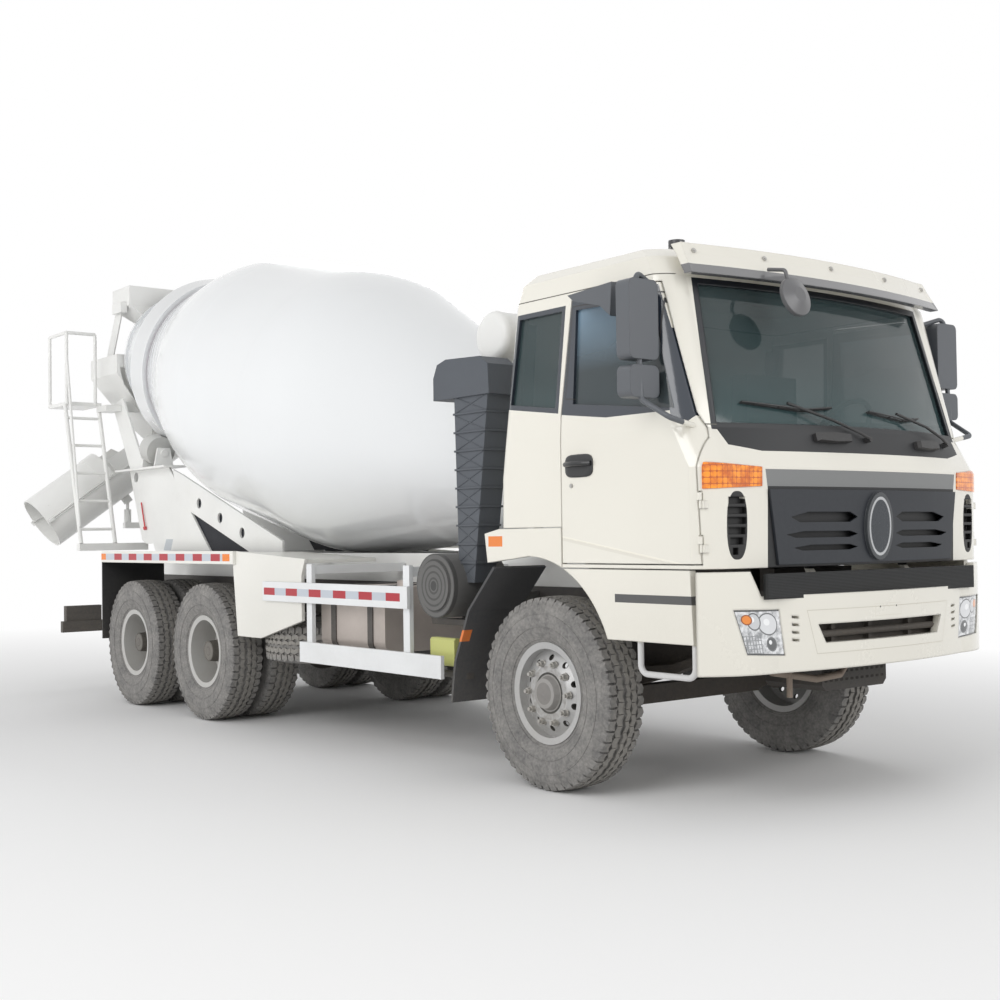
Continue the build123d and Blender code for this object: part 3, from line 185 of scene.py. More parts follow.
# ---------------------------------------------------------------------------
# Tyres: 11.00 R 20 radials. A moulded carcass carries five rows of zigzag tread
# blocks, and the shoulder blocks run down the sidewall. Road dust lies on them.
TYRE_R = (wheel_high.z - wheel_low.z) / 2
TYRE_HALF = (wheel_high.y - wheel_low.y) / 2
BEAD_R = 0.264
TREAD_DEPTH = 0.014
PITCHES = 52
# rows of blocks: inner and outer edge across, phase along, depth of the zigzag, gap between blocks
ROWS = ((0.000, 0.020, 0.0, 0.012, 0.06), (0.033, 0.066, 0.5, 0.013, 0.06), (0.079, 0.121, 0.0, 0.012, 0.20))
SIDES = (("left", 1), ("right", -1))


def skin(bm, rings, *ends):
    """Adds faces between neighbouring rings of corners, and over the end rings that are named."""
    for here, there in zip(rings, rings[1:]):
        for k in range(len(here)):
            bm.faces.new((here[k - 1], here[k], there[k], there[k - 1]))
    for end in ends:
        bm.faces.new(rings[end])


def piece(name, mesh, material, body, stands_for=(), smooth=None, spot=(0, 0, 0), turned=(0, 0, 0)):
    """Object made from a bmesh, or from a mesh that is shared, riding on a body."""
    if isinstance(mesh, bmesh.types.BMesh):
        built = bpy.data.meshes.new(name)
        bmesh.ops.recalc_face_normals(mesh, faces=mesh.faces)
        mesh.to_mesh(built)
        mesh.free()
        mesh = built
        if smooth is not None:
            mesh.shade_smooth()
            mesh.set_sharp_from_angle(angle=math.radians(smooth))
        mesh.materials.append(material)
    thing = bpy.data.objects.new(name, mesh)
    bpy.context.collection.objects.link(thing)
    thing.location, thing.rotation_euler = spot, turned
    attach(thing, body)
    if stands_for:
        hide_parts(*stands_for)
    return thing


def turn(bm, outline, steps):
    """Adds a body of revolution about Y; the outline is a closed ring of (radius, place along Y)."""
    angles = [2 * math.pi * number / steps for number in range(steps)]
    rings = [[bm.verts.new((r * math.sin(a), y, r * math.cos(a))) for r, y in outline] for a in angles]
    skin(bm, rings + rings[:1])


def crown(y):
    """Tread radius, which falls a little towards the shoulders."""
    return TYRE_R - 0.5 * y * y


def tyre_mesh():
    bm = bmesh.new()
    # half of the carcass from its bead to its crown: radius, place across
    half = [(BEAD_R, 0.080), (BEAD_R + 0.004, 0.094), (0.290, 0.104), (0.320, 0.122), (0.352, 0.136),
            (0.392, TYRE_HALF - 0.001), (0.428, TYRE_HALF - 0.001), (0.462, 0.141), (0.492, 0.133),
            (0.510, 0.127), (crown(0.118) - TREAD_DEPTH, 0.118), (crown(0.06) - TREAD_DEPTH, 0.06)]
    turn(bm, [(r, -y) for r, y in half] + [(r, y) for r, y in reversed(half)], 96)
    # moulded ribs on the sidewall: radius, half width, height, place of the wall across
    for ring_r, width, rise, wall in ((0.372, 0.002, 0.0022, 0.1417), (0.446, 0.003, 0.002, 0.1441),
                                      (0.308, 0.0025, 0.002, 0.1160)):
        for side in (-1, 1):
            turn(bm, [(ring_r + share * width, side * (wall + up))
                      for share, up in ((-2, -0.006), (-1, rise), (1, rise), (2, -0.006))], 96)
    step = 2 * math.pi / PITCHES
    for number in range(PITCHES):
        for inner, outer, phase, zig, gap in ROWS:
            low, high = (inner - zig / 2, inner + zig / 2) if inner else (-0.011, 0.0)
            for side in (-1, 1) if inner else (1,):
                start = (number + phase + (0.12 if side > 0 else 0)) * step
                middle, last = start + step * (1 - gap) / 2, start + step * (1 - gap)
                top, base = [], []
                for y, angle in ((low, start), (high, middle), (low, last), (outer - zig / 2, last),
                                 (outer + zig / 2, middle), (outer - zig / 2, start)):
                    r = crown(y)
                    foot_r, foot_y = (0.497, 0.134) if y > 0.1 else (r - TREAD_DEPTH - 0.002, y)
                    top.append(bm.verts.new((r * math.sin(angle), side * y, r * math.cos(angle))))
                    base.append(bm.verts.new((foot_r * math.sin(angle), side * foot_y, foot_r * math.cos(angle))))
                skin(bm, [top, base], 0)
    return bm


def blend(first, second, share):
    """Colour between two, by share of the second."""
    pair = [value if isinstance(value, Signal) else rgba(value) for value in (first, second)]
    return share.node("Mix", {"data_type": "RGBA"}, out=2, i0=share, i6=pair[0], i7=pair[1])


def grain(s, place, scale, detail=3, rough=0.55):
    """Cloudy pattern in the solid; a higher scale makes it finer."""
    return s.node("TexNoise", Vector=place, Scale=scale, Detail=detail, Roughness=rough)


tyre_rubber, shader, s = finish("tyre_rubber")
place = s.node("TexCoord", out=3)
dust = grain(s, place, 7, 5, 0.6) * 0.55 + grain(s, place, 60, 2) * 0.45
dusty = blend((0.110, 0.108, 0.108), (0.330, 0.318, 0.300), span(s, dust, 0.30, 0.72))
worn = span(s, length_of(s, scaled(s, place, (1, 0, 1))), TYRE_R - 0.008, TYRE_R - 0.001)
feed(shader, Base_Color=blend(dusty, (0.270, 0.255, 0.230), worn * 0.7),
     Roughness=span(s, dust, 0.3, 0.7, 0.72, 0.95),
     Normal=s.node("Bump", Height=grain(s, place, 160, 3), Strength=0.18, Distance=0.002))
WHEELS = [(name, side_name, side) for name in ("front", "mid", "rear") for side_name, side in SIDES]
tyre = None
for name, side_name, side in WHEELS:
    node = f"{name}_tyre_{side_name}"
    low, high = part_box(node)
    apart = (high.y - low.y) / 2 - TYRE_HALF
    for number, lane in enumerate((0,) if name == "front" else (-apart, apart)):
        label = f"{node}_tread" + ("" if name == "front" else f"_{number + 1}")
        tread = piece(label, tyre.data if tyre else tyre_mesh(), tyre_rubber, f"{name}_wheel_{side_name}",
                      () if number else (node,), 35, (low + high) / 2 + Vector((0, lane, 0)),
                      (0, random.Random(label).uniform(0, 0.12), 0))
        tyre = tyre or tread

# ---------------------------------------------------------------------------
# Wheels: pressed steel discs in silver paint, held by ten studs with their
# nuts; the rear pairs are duller and dustier. They bolt to the hubs.
STUD_RING, FRONT_SEAT = 0.1675, 0.083
front_axle_z = (wheel_low.z + wheel_high.z) / 2
rear_axles = [sum(corner.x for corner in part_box(f"{name}_tyre_right")) / 2 - front_axle_x
              for name in ("mid", "rear")]


def axes(s):
    """Place on the truck at rest: the point, and metres ahead of the front axle, to the left and up."""
    place = s.node("TexCoord", out=3)
    x, y, z = (s.node("SeparateXYZ", out=k, Vector=place) for k in range(3))
    return place, x - front_axle_x, y, z


def between(value, low, high):
    return (value > low) * (value < high)


def line_at(value, place, width):
    """1 near a place along one axis: a shut line or a crease."""
    return abs(value - place) < width


def oval(u, v, middle, radii, power=2.0):
    """1 inside an ellipse, or inside a rounded box where the power is above 2."""
    far = [u.math("POWER", abs((q - m) * (1 / r)), power) for q, m, r in zip((u, v), middle, radii)]
    return (far[0] + far[1]) < 1.0


def away_from(s, x, z, middle):
    """Distance from a line across the truck, such as an axle."""
    return length_of(s, s.node("CombineXYZ", X=x - middle[0], Y=z - middle[1], Z=0.0))


FULL_DUST_HEIGHT, DUST_ROUGH = 0.35, 0.85


def paint(name, colour, rough, coat, dust, dust_colour=(0.40, 0.36, 0.29), dust_top=1.4, metal=0.0,
          bump=0.04, marks=None, round_edges=0.0, patchy=0.06, gloss=False):
    """Painted or moulded surface: uneven colour, fine texture, and dust that thickens towards the ground.
    marks gives masks with a colour and a roughness for each, laid over the colour one after the other."""
    material, shader, s = finish(name)
    place, x, y, z = axes(s)
    cloud = grain(s, place, 0.9, 2, 0.4) if gloss else grain(s, place, 1.7, 5, 0.6)
    speck = grain(s, place, 45, 4, 0.7)
    darker = tuple(c * (1 - 2.2 * patchy) for c in colour)
    shade = blend(colour, darker, span(s, cloud, 0.25, 0.85))
    roughness = span(s, cloud, 0.3, 0.7, rough, rough + (0.04 if gloss else 0.12))
    varnish = coat
    if marks:
        for mask, mark, mark_rough in marks(s, place, x, y, z):
            shade = blend(shade, mark, mask)
            roughness = roughness + (mark_rough - roughness) * mask
            if mark_rough >= 0.3 and coat:
                varnish = varnish * (1 - mask)
    low_dust = span(s, z, dust_top, FULL_DUST_HEIGHT) * dust + dust * (0.0 if gloss else 0.12)
    dirt = low_dust * span(s, cloud * 0.55 + speck * 0.45, 0.25, 0.85)
    shade = blend(shade, dust_colour, dirt)
    roughness = roughness + (DUST_ROUGH - roughness) * dirt
    face = {"Normal": s.node("Bevel", {"samples": 4}, Radius=round_edges)} if round_edges else {}
    if not gloss:
        texture = grain(s, place, 140, 3, 0.6)
        face = {"Normal": s.node("Bump", Height=texture, Strength=bump, Distance=0.004, **face)}
    feed(shader, Base_Color=shade, Roughness=roughness, Metallic=metal, Coat_Weight=varnish, Coat_Roughness=0.08,
         **face)
    return material


def dress(material, *names):
    for name in names:
        nodes[name].data.materials.clear()
        nodes[name].data.materials.append(material)


def disc_marks(s, place, x, y, z):
    """Greasy hub behind the studs and ten dark openings near the rim."""
    from_axle = away_from(s, x, z, (0.0, front_axle_z))
    angle = s.math("ARCTAN2", z - front_axle_z, x)
    turn_share = s.math("FRACT", angle * (10 / (2 * math.pi)) + 10.0)
    hole = oval(turn_share, from_axle, (0.5, 0.198), (0.150, 0.017))
    hub = from_axle < 0.108
    cap = from_axle < 0.062
    gap = line_at(from_axle, 0.110, 0.006)
    ring_stain = between(from_axle, 0.108, 0.150) * span(s, grain(s, place, 30, 4), 0.4, 0.65)
    return [(ring_stain * 0.6, (0.22, 0.20, 0.18), 0.6), (hub, (0.33, 0.32, 0.31), 0.5),
            (cap, (0.21, 0.20, 0.195), 0.45), (gap, (0.03, 0.03, 0.03), 0.8), (hole, (0.02, 0.02, 0.02), 0.9)]


silver = paint("wheel_silver", (0.52, 0.52, 0.52), rough=0.34, coat=0.1, dust=0.55, dust_top=1.3, metal=0.45,
               bump=0.10, dust_colour=(0.42, 0.40, 0.36), round_edges=0.004, marks=disc_marks)


def dish_marks(s, place, x, y, z):
    """Bare bright rim edge, painted shade that darkens the dish towards its hub, oily hub in its middle."""
    nearest = s.math("MINIMUM", *(away_from(s, x, z, (axle, front_axle_z)) for axle in rear_axles))
    edge = between(nearest, 0.238, 0.300)
    shade = span(s, nearest, 0.215, 0.12)
    # painted shade: the dish grows darker towards the hub, deep inside the rim
    hub = nearest < 0.125
    ribs = between(nearest, 0.070, 0.085) + between(nearest, 0.030, 0.036)
    return [(edge, (0.50, 0.50, 0.49), 0.4), (shade * 0.6, (0.22, 0.20, 0.17), 0.7),
            (hub, (0.10, 0.095, 0.09), 0.55), (ribs, (0.035, 0.033, 0.03), 0.6)]


beige = paint("wheel_beige", (0.44, 0.415, 0.37), rough=0.55, coat=0.0, dust=0.45, dust_top=1.5, metal=0.1,
              bump=0.15, dust_colour=(0.40, 0.365, 0.31), marks=dish_marks)
steel_nut = paint("stud_steel", (0.52, 0.51, 0.49), rough=0.35, coat=0.0, dust=0.5, metal=0.8, bump=0.2)
for side_name, _ in SIDES:
    dress(silver, f"front_wheel_{side_name}")
    dress(beige, f"mid_wheel_{side_name}", f"rear_wheel_{side_name}")


def add_stud(bm, middle, out, turn_by):
    """Washer, hexagon nut and the stud's end, along Y; out is 1 on the left and -1 on the right."""
    for radius, start, end, sides in ((0.024, 0, 0.006, 16), (0.0195, 0.006, 0.030, 6),
                                      (0.011, 0.030, 0.046, 12)):
        angles = [turn_by + 2 * math.pi * k / sides for k in range(sides)]
        skin(bm, [[bm.verts.new(middle + Vector((r * math.cos(a), out * along, r * math.sin(a)))) for a in angles]
                  for r, along in ((radius, start), (radius * 0.96, end))], 1)


for name, side_name, side in WHEELS:
    low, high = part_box(f"{name}_tyre_{side_name}")
    seat = (low + high) / 2 + Vector((0, side * FRONT_SEAT if name == "front" else 0, 0))
    bm = bmesh.new()
    for number in range(10):
        angle = 2 * math.pi * number / 10
        add_stud(bm, seat + STUD_RING * Vector((math.cos(angle), 0, math.sin(angle))), side, number * 0.7)
    studs = piece(f"{name}_wheel_{side_name}_studs", bm, steel_nut, f"{name}_wheel_{side_name}")

# ---------------------------------------------------------------------------
# Chassis: pressed channel rails, axles, springs and driveline in dark paint
# gone brown-grey with road dirt. Riveted and bolted together.
rail_paint = paint("rail_paint", (0.055, 0.055, 0.058), rough=0.5, coat=0.0, dust=0.75, dust_top=1.6, bump=0.2,
                   dust_colour=(0.20, 0.17, 0.13))
axle_iron = paint("axle_iron", (0.045, 0.042, 0.040), rough=0.6, coat=0.0, dust=0.8, dust_top=1.6, bump=0.5,
                  dust_colour=(0.17, 0.14, 0.11))
dress(rail_paint, "frame_rails", "battery_box", "underrun_bar")
dress(axle_iron, "front_axle", "drive_axles", "knuckle_left", "knuckle_right", "engine")
rust_steel = paint("silencer_steel", (0.28, 0.22, 0.18), rough=0.6, coat=0.0, dust=0.5, metal=0.5, bump=0.3,
                   patchy=0.2)
dress(rust_steel, "silencer")
flap_rubber = paint("flap_rubber", (0.060, 0.062, 0.068), rough=0.65, coat=0.0, dust=0.5, bump=0.3,
                    dust_colour=(0.24, 0.22, 0.19),
                    marks=lambda s, place, x, y, z: [
                        (between(z, 0.80, 0.87) * between(abs(y), 1.13, 1.2), (0.80, 0.20, 0.03), 0.4)])
dress(flap_rubber, "front_flaps")

# ---------------------------------------------------------------------------
# Fuel tank: welded aluminium box, left bare and gone dull, held by two steel
# straps with rubber under them.
tank_low, tank_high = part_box("fuel_tank")
STRAP_INSET, STRAP_HALF = 0.17, 0.031
straps = [tank_low.x + STRAP_INSET - front_axle_x, tank_high.x - STRAP_INSET - front_axle_x]
tank_metal = paint("tank_metal", (0.60, 0.54, 0.50), rough=0.42, coat=0.0, dust=0.5, metal=0.55, bump=0.25,
                   dust_colour=(0.44, 0.38, 0.33), patchy=0.12,
                   marks=lambda s, place, x, y, z: [
                       (between(x, strap - STRAP_HALF, strap + STRAP_HALF), (0.06, 0.06, 0.06), 0.5)
                       for strap in straps])
dress(tank_metal, "fuel_tank")

# ---------------------------------------------------------------------------
# Spare wheel: the same tyre and rim as on the axles, lying flat in its
# carrier below the frame.
spare_low, spare_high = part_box("spare_wheel")
spare_middle = (spare_low + spare_high) / 2
spare_middle.z = spare_low.z + TYRE_HALF
spare = piece("spare_tyre", tyre.data, tyre_rubber, "chassis", ("spare_wheel",), None, spare_middle,
              (math.radians(90), 0, 0.4))
bm = bmesh.new()
# the rim with its dish, then the carrier's bolt through its middle
turn(bm, [(0.235, -0.11), (0.262, -0.10), (0.262, 0.10), (0.250, 0.115), (0.235, 0.10), (0.22, 0.03),
          (0.15, 0.05), (0.05, 0.05), (0.05, 0.035), (0.15, 0.035), (0.215, 0.01), (0.235, -0.09)], 64)
turn(bm, [(0.0, 0.036), (0.042, 0.036), (0.042, 0.22), (0.0, 0.22)], 24)
bmesh.ops.transform(bm, matrix=Matrix.Translation(spare_middle) @ Matrix.Rotation(math.radians(90), 4, "X"),
                    verts=bm.verts)
rim_part = piece("spare_rim", bm, beige, "chassis", ("spare_wheel",), smooth=30)

# ---------------------------------------------------------------------------
# Intake snorkel and air filter: blow-moulded dark plastic with cross ribs on
# its outer face, and a pressed steel canister on a bracket.
CANISTER = (-0.880, 1.130)


def canister_marks(s, place, x, y, z):
    """Pressed rings on the canister's dusty lid."""
    away = away_from(s, x, z, CANISTER)
    lid = (away < 0.1965) * (x < -0.68)
    rings = (s.math("SINE", away * 170.0) > 0.45) * lid * (y < -1.2)
    return [(lid, (0.115, 0.113, 0.110), 0.6), (rings, (0.055, 0.054, 0.053), 0.6),
            ((away < 0.030) * lid, (0.03, 0.03, 0.03), 0.5)]


intake_plastic = paint("intake_plastic", (0.080, 0.090, 0.106), rough=0.5, coat=0.0, dust=0.35, bump=0.25,
                       dust_top=2.6, dust_colour=(0.20, 0.20, 0.19), round_edges=0.006, marks=canister_marks)
dress(intake_plastic, "air_intake")


def tube(bm, points, radius, sides=8):
    """Adds a round bar through the points."""
    points = [Vector(p) for p in points]
    rings = []
    for number, point in enumerate(points):
        before = points[max(number - 1, 0)]
        after = points[min(number + 1, len(points) - 1)]
        along = (after - before).normalized()
        first = (first - along * first.dot(along) if number else along.orthogonal()).normalized()
        second = along.cross(first)
        rings.append([bm.verts.new(point + radius * (math.cos(a) * first + math.sin(a) * second))
                      for a in (2 * math.pi * k / sides for k in range(sides))])
    skin(bm, rings, 0, -1)


# crossed ribs in ten bays up the duct, whose outer face widens and leans out towards its mouth
BAYS = 10
bm = bmesh.new()
for number in range(BAYS):
    corners = []
    for share in ((number + 0.10) / BAYS, (number + 0.97) / BAYS):
        middle, half = -0.690 + 0.080 * share, (0.150 + 0.180 * share) / 2 - 0.006
        corners.append([(front_axle_x + middle + q * half, -1.130 - 0.015 * share, 1.150 + 1.120 * share)
                        for q in (-1, 1)])
    tube(bm, [corners[0][0], corners[1][1]], 0.004, 6)
    tube(bm, [corners[0][1], corners[1][0]], 0.004, 6)
ribs = piece("intake_cross_ribs", bm, intake_plastic, "chassis", smooth=40)

# ---------------------------------------------------------------------------
# Rear wings and side guards: sheet steel decks over the twin wheels in ivory,
# and white rails bolted ahead of them. Red and white reflective tape is stuck
# along both; the wings carry an amber marker lamp at each end.
WHITE = (0.80, 0.815, 0.825)
RED, AMBER, TAPE_WHITE = (0.40, 0.008, 0.022), (0.80, 0.20, 0.01), (0.50, 0.54, 0.60)
wing_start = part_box("rear_mudguards")[0].x - front_axle_x
WING_FACE = 1.2445


def wing_marks(s, place, x, y, z):
    along = x - wing_start
    strip = between(z, 1.262, 1.318) * (abs(y) > WING_FACE) * (along < 2.52)
    red = strip * (s.math("FRACT", (along - 0.16) * (1 / 0.315)) > 0.48) * between(along, 0.16, 2.36)
    ends = strip * ((along < 0.12) + (along > 2.40))
    # painted shade on the inner faces and underside of the wing
    inside = (abs(y) < WING_FACE - 0.001) * (z < 1.322) * (along < 2.50)
    return [(inside, (0.016, 0.017, 0.020), 0.7), (strip, TAPE_WHITE, 0.3), (red, RED, 0.3), (ends, AMBER, 0.2)]


wing_paint = paint("wing_paint", (0.81, 0.80, 0.75), rough=0.35, coat=0.3, dust=0.35, dust_top=1.35, gloss=True,
                   round_edges=0.004, marks=wing_marks)
dress(wing_paint, "rear_mudguards")
guard_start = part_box("side_guards")[0].x - front_axle_x


def guard_marks(s, place, x, y, z):
    along = x - guard_start - 0.02
    strip = between(z, 1.024, 1.076) * (abs(y) > 1.243) * between(along, 0.0, 1.76)
    return [(strip, TAPE_WHITE, 0.3), (strip * (s.math("FRACT", along * (1 / 0.32)) < 0.5), RED, 0.3)]


guard_paint = paint("guard_paint", WHITE, rough=0.35, coat=0.3, dust=0.25, dust_top=1.2, marks=guard_marks,
                    round_edges=0.004)
dress(guard_paint, "side_guards")

# ---------------------------------------------------------------------------
# Cab: pressed steel body in ivory gloss with black fields round the glass, a
# matt grey band over the front panel and black vents at its corners.
IVORY = (0.81, 0.785, 0.705)
WINDSCREEN = [(-1.000, 1.975), (1.000, 1.975), (0.925, 2.700), (-0.925, 2.700)]
QUARTER_WINDOW = [(-0.130, 2.650), (-0.190, 2.170), (0.200, 2.120), (0.235, 2.650)]
BLACK, WINDOW_FIELD, GREY_BAND = (0.008, 0.010, 0.014), (0.022, 0.030, 0.044), (0.20, 0.205, 0.205)


def within(u, v, corners, grow=0.0):
    """1 inside an anticlockwise polygon of (u, v) corners in metres, else 0."""
    inside = None
    for (u1, v1), (u2, v2) in zip(corners, corners[1:] + corners[:1]):
        length = math.hypot(u2 - u1, v2 - v1)
        along, up = (u2 - u1) / length, (v2 - v1) / length
        half = (v * along - u * up) > (v1 * along - u1 * up - grow)
        inside = half if inside is None else inside * half
    return inside


def shell_marks(s, place, x, y, z):
    wide = abs(y)
    side, forward = wide > 1.0, x > 0.95
    screen = within(y, z, WINDSCREEN, 0.035) * forward
    cowl = within(y, z, [(-1.02, 1.985), (-0.985, 1.862), (-0.80, 1.832), (0.80, 1.832), (0.985, 1.862),
                         (1.02, 1.985)]) * forward
    band = within(y, z, [(-0.815, 1.740), (-0.800, 1.640), (0.800, 1.640), (0.815, 1.740)]) * forward
    panel = between(z, 1.235, 1.655) * (wide < 0.80) * forward
    vent = oval(wide, z, (0.992, 1.462), (0.062, 0.168), 2.6) * (x > 1.1)
    quarter = within(x, z, QUARTER_WINDOW, 0.028) * side
    seams = line_at(z, 1.965, 0.003) * forward * side + line_at(z, 1.462, 0.003) * (x < 0.25) * side \
        + line_at(z, 2.745, 0.003) * (x < 1.0)
    # painted shade along the swage line that slopes down the cab's side
    swage_shade = line_at(z + (x + 0.42) * 0.10, 1.462, 0.004) * side * (x < 0.25)
    return [(screen, BLACK, 0.35), (cowl, (0.016, 0.017, 0.019), 0.5), (band, GREY_BAND, 0.40),
            (panel, (0.006, 0.007, 0.009), 0.5), (vent, (0.006, 0.006, 0.007), 0.5),
            (quarter, WINDOW_FIELD, 0.2), (swage_shade, (0.60, 0.57, 0.48), 0.3),
            (seams, (0.10, 0.095, 0.08), 0.6)]


shell_paint = paint("shell_paint", IVORY, rough=0.22, coat=0.8, dust=0.10, dust_top=2.0, round_edges=0.010,
                    patchy=0.03, gloss=True, marks=shell_marks)
dress(shell_paint, "cab_shell")

# ---------------------------------------------------------------------------
# Doors and front wings: pressed doors with a dark field round the glass, grey
# mirror arms and a crease drawn as a painted highlight over painted shade;
# moulded wings, bolted to the cab, with painted shade on their inner faces, a
# dark step line, a grey lower plate and an amber side lamp.


def rim(u, v, corners, outer, inner=0.0):
    """1 on a line along a polygon's edge, between two distances outside it."""
    return within(u, v, corners, outer) - within(u, v, corners, inner)


def door_marks(s, place, x, y, z):
    wide = abs(y)
    field = within(x, z, [(0.200, 2.085), (1.148, 1.975), (1.180, 2.020), (0.960, 2.690), (0.290, 2.700)]) \
        * (wide < 1.185)
    frame_line = rim(x, z, [(0.292, 2.170), (0.985, 2.110), (0.985, 2.640), (0.330, 2.655)], 0.012, 0.004)
    arms = (wide + (z - 1.95) * 0.057 > 1.199) * (z > 1.90)
    slope = z + (x - 0.2) * 0.16
    # the crease is drawn in colour: a painted highlight along it and painted shade just below it
    crease, shade_below_crease = line_at(slope, 1.425, 0.005) * (wide > 1.0), between(slope, 1.405, 1.425) * (wide > 1.0)
    return [(field, WINDOW_FIELD, 0.18), (frame_line, (0.05, 0.05, 0.052), 0.3),
            (arms, (0.105, 0.113, 0.125), 0.38), (crease, (0.88, 0.85, 0.75), 0.25),
            (shade_below_crease * 0.35, (0.60, 0.57, 0.49), 0.3)]


door_paint = paint("door_paint", IVORY, rough=0.22, coat=0.8, dust=0.10, dust_top=2.0, round_edges=0.008,
                   patchy=0.03, gloss=True, marks=door_marks)
dress(door_paint, "door_left", "door_right")
# the first mark is painted shade on the wings' inner faces, behind the wheel
fender_paint = paint("fender_paint", IVORY, rough=0.28, coat=0.6, dust=0.28, dust_top=1.5, round_edges=0.010,
                     patchy=0.04, gloss=True, marks=lambda s, place, x, y, z: [
                         ((abs(y) < 1.148) * (x < 0.64), (0.03, 0.03, 0.032), 0.7),
                         (between(z, 1.075, 1.118) * (x > 0.66) * (abs(y) > 1.0), (0.085, 0.087, 0.09), 0.6),
                         (between(x, -0.40, -0.27) * between(z, 1.365, 1.425) * (abs(y) > 1.18), AMBER, 0.2),
                         ((z < 0.875) * (x > 0.7), (0.62, 0.62, 0.62), 0.4)])
dress(fender_paint, "front_fenders")

# ---------------------------------------------------------------------------
# Glass: a laminated windscreen bonded to the shell, and tempered door windows that run
# in rubber channels, with a painted sky reflection in a light band at their top. All are tinted.


def glazing(name, tint, see, dust_and_reflection, heights):
    """Tinted glass that turns paler between two heights: dust below, or a painted sky reflection in a band above.
    """
    material, shader, s = finish(name)
    place, _, _, z = axes(s)
    haze = grain(s, place, 1.6, 3, 0.5)
    smear = grain(s, scaled(s, place, (1, 6, 1)), 3, 4)
    toned = blend(tint, tuple(0.75 * c + 0.03 for c in tint), span(s, haze, 0.35, 0.7))
    feed(shader, Base_Color=blend(toned, dust_and_reflection, span(s, z, *heights) * span(s, haze, 0.2, 0.7, 0.5, 1)),
         Roughness=span(s, smear, 0.3, 0.7, 0.02, 0.07), IOR=1.5, Coat_Weight=0.15,
         Alpha=span(s, haze, 0.3, 0.7, see, see + 0.10))
    return material


dress(glazing("windscreen_glass", (0.040, 0.070, 0.074), 0.55, (0.065, 0.115, 0.120), (2.30, 2.02)), "cab_glass")
# the door windows: their light blue top band is a painted sky reflection
dress(glazing("side_glass", (0.050, 0.070, 0.078), 0.66, (0.24, 0.36, 0.47), (2.30, 2.62)),
      "door_glass_left", "door_glass_right")

# ---------------------------------------------------------------------------
# Wipers: black arms on two spindles in the cowl, each with a rubber blade lying
# on the glass; two moulded caps cover their linkage.
surfaces = {}


def hit(node, start, along):
    """Where a line meets a CAD node's surface, and the surface's normal there."""
    if node not in surfaces:
        bm = bmesh.new()
        bm.from_mesh(nodes[node].data)
        surfaces[node] = BVHTree.FromBMesh(bm)
        bm.free()
    spot, normal, _, _ = surfaces[node].ray_cast(Vector(start), Vector(along))
    return spot, normal


def in_front(node, y, z):
    """Where the front of a node is at a place across and up, and its normal."""
    return hit(node, (front_axle_x + 3, y, z), (-1, 0, 0))


wiper_black = paint("wiper_black", (0.018, 0.018, 0.020), rough=0.45, coat=0.1, dust=0.15, bump=0.15,
                    dust_top=2.4)
for number, (pivot, tip, low_tip, high_tip) in enumerate((((-0.040, 1.905), (-0.560, 2.075), -0.250, -0.830),
                                                          ((0.800, 1.905), (0.300, 2.055), 0.560, 0.050))):
    bm = bmesh.new()
    spot, normal = in_front("cab_shell", *pivot)
    end, end_normal = in_front("cab_glass", *tip)
    tube(bm, [spot - normal * 0.01, spot + normal * 0.035], 0.016, 12)
    tube(bm, [spot + normal * 0.030, spot * 0.85 + end * 0.15 + normal * 0.045, (spot + end) / 2 + normal * 0.055,
              end + end_normal * 0.030], 0.008)
    blade, back = [], []
    for step in range(9):
        touch, face = in_front("cab_glass", low_tip + (high_tip - low_tip) * step / 8,
                               tip[1] - 0.030 + 0.035 * abs(step - 3) / 5)
        blade.append(touch + face * 0.008)
        back.append(touch + face * (0.030 - 0.002 * abs(step - 4)))
    tube(bm, blade, 0.006, 6)
    tube(bm, back, 0.005, 6)
    for step in (1, 3, 5, 7):
        tube(bm, [blade[step], back[step]], 0.004, 6)
    wiper = piece(f"wiper_{number + 1}", bm, wiper_black, "cab", smooth=40)


def pad(bm, corners, depth, lift):
    """Adds a raised pad with rounded sides over a ring of corners, which carry the surface's normals."""
    rings = []
    middle = sum((c for c, _ in corners), Vector()) / len(corners)
    for inset, rise in ((0.0, lift), (0.0, lift + depth * 0.6), (0.10, lift + depth), (0.30, lift + depth)):
        rings.append([bm.verts.new(c + (middle - c) * inset + n * rise) for c, n in corners])
    skin(bm, rings, -1)


for number, (y0, y1, z0, z1) in enumerate(((-0.440, -0.190, 1.885, 1.925), (0.420, 0.660, 1.870, 1.910))):
    bm = bmesh.new()
    pad(bm, [in_front("cab_shell", y, z) for y, z in (
        (y0, z0), ((y0 + y1) / 2, z0 - 0.006), (y1, z0), (y1, z1), ((y0 + y1) / 2, z1 + 0.006), (y0, z1))],
        0.045, -0.004)
    cap = piece(f"cowl_cap_{number + 1}", bm, wiper_black, "cab", smooth=30)

# ---------------------------------------------------------------------------
# Door handles: a moulded scoop with a pull lever across it, and the lock
# cylinder below; black plastic and bright metal.
handle_black = paint("handle_black", (0.016, 0.017, 0.019), rough=0.35, coat=0.3, dust=0.05, bump=0.1)
PULL_BOW = (0.012, 0.030, 0.040, 0.044, 0.040, 0.030, 0.012)


def swell(share):
    """Square root that keeps its sign: it fills an ellipse out towards its corners."""
    return math.copysign(abs(share) ** 0.5, share)


def on_door(side, x, z):
    """Where the outside of the left door (1) or the right one (-1) is, and its normal."""
    return hit("door_left" if side > 0 else "door_right", (front_axle_x + x, side * 2, z), (0, -side, 0))


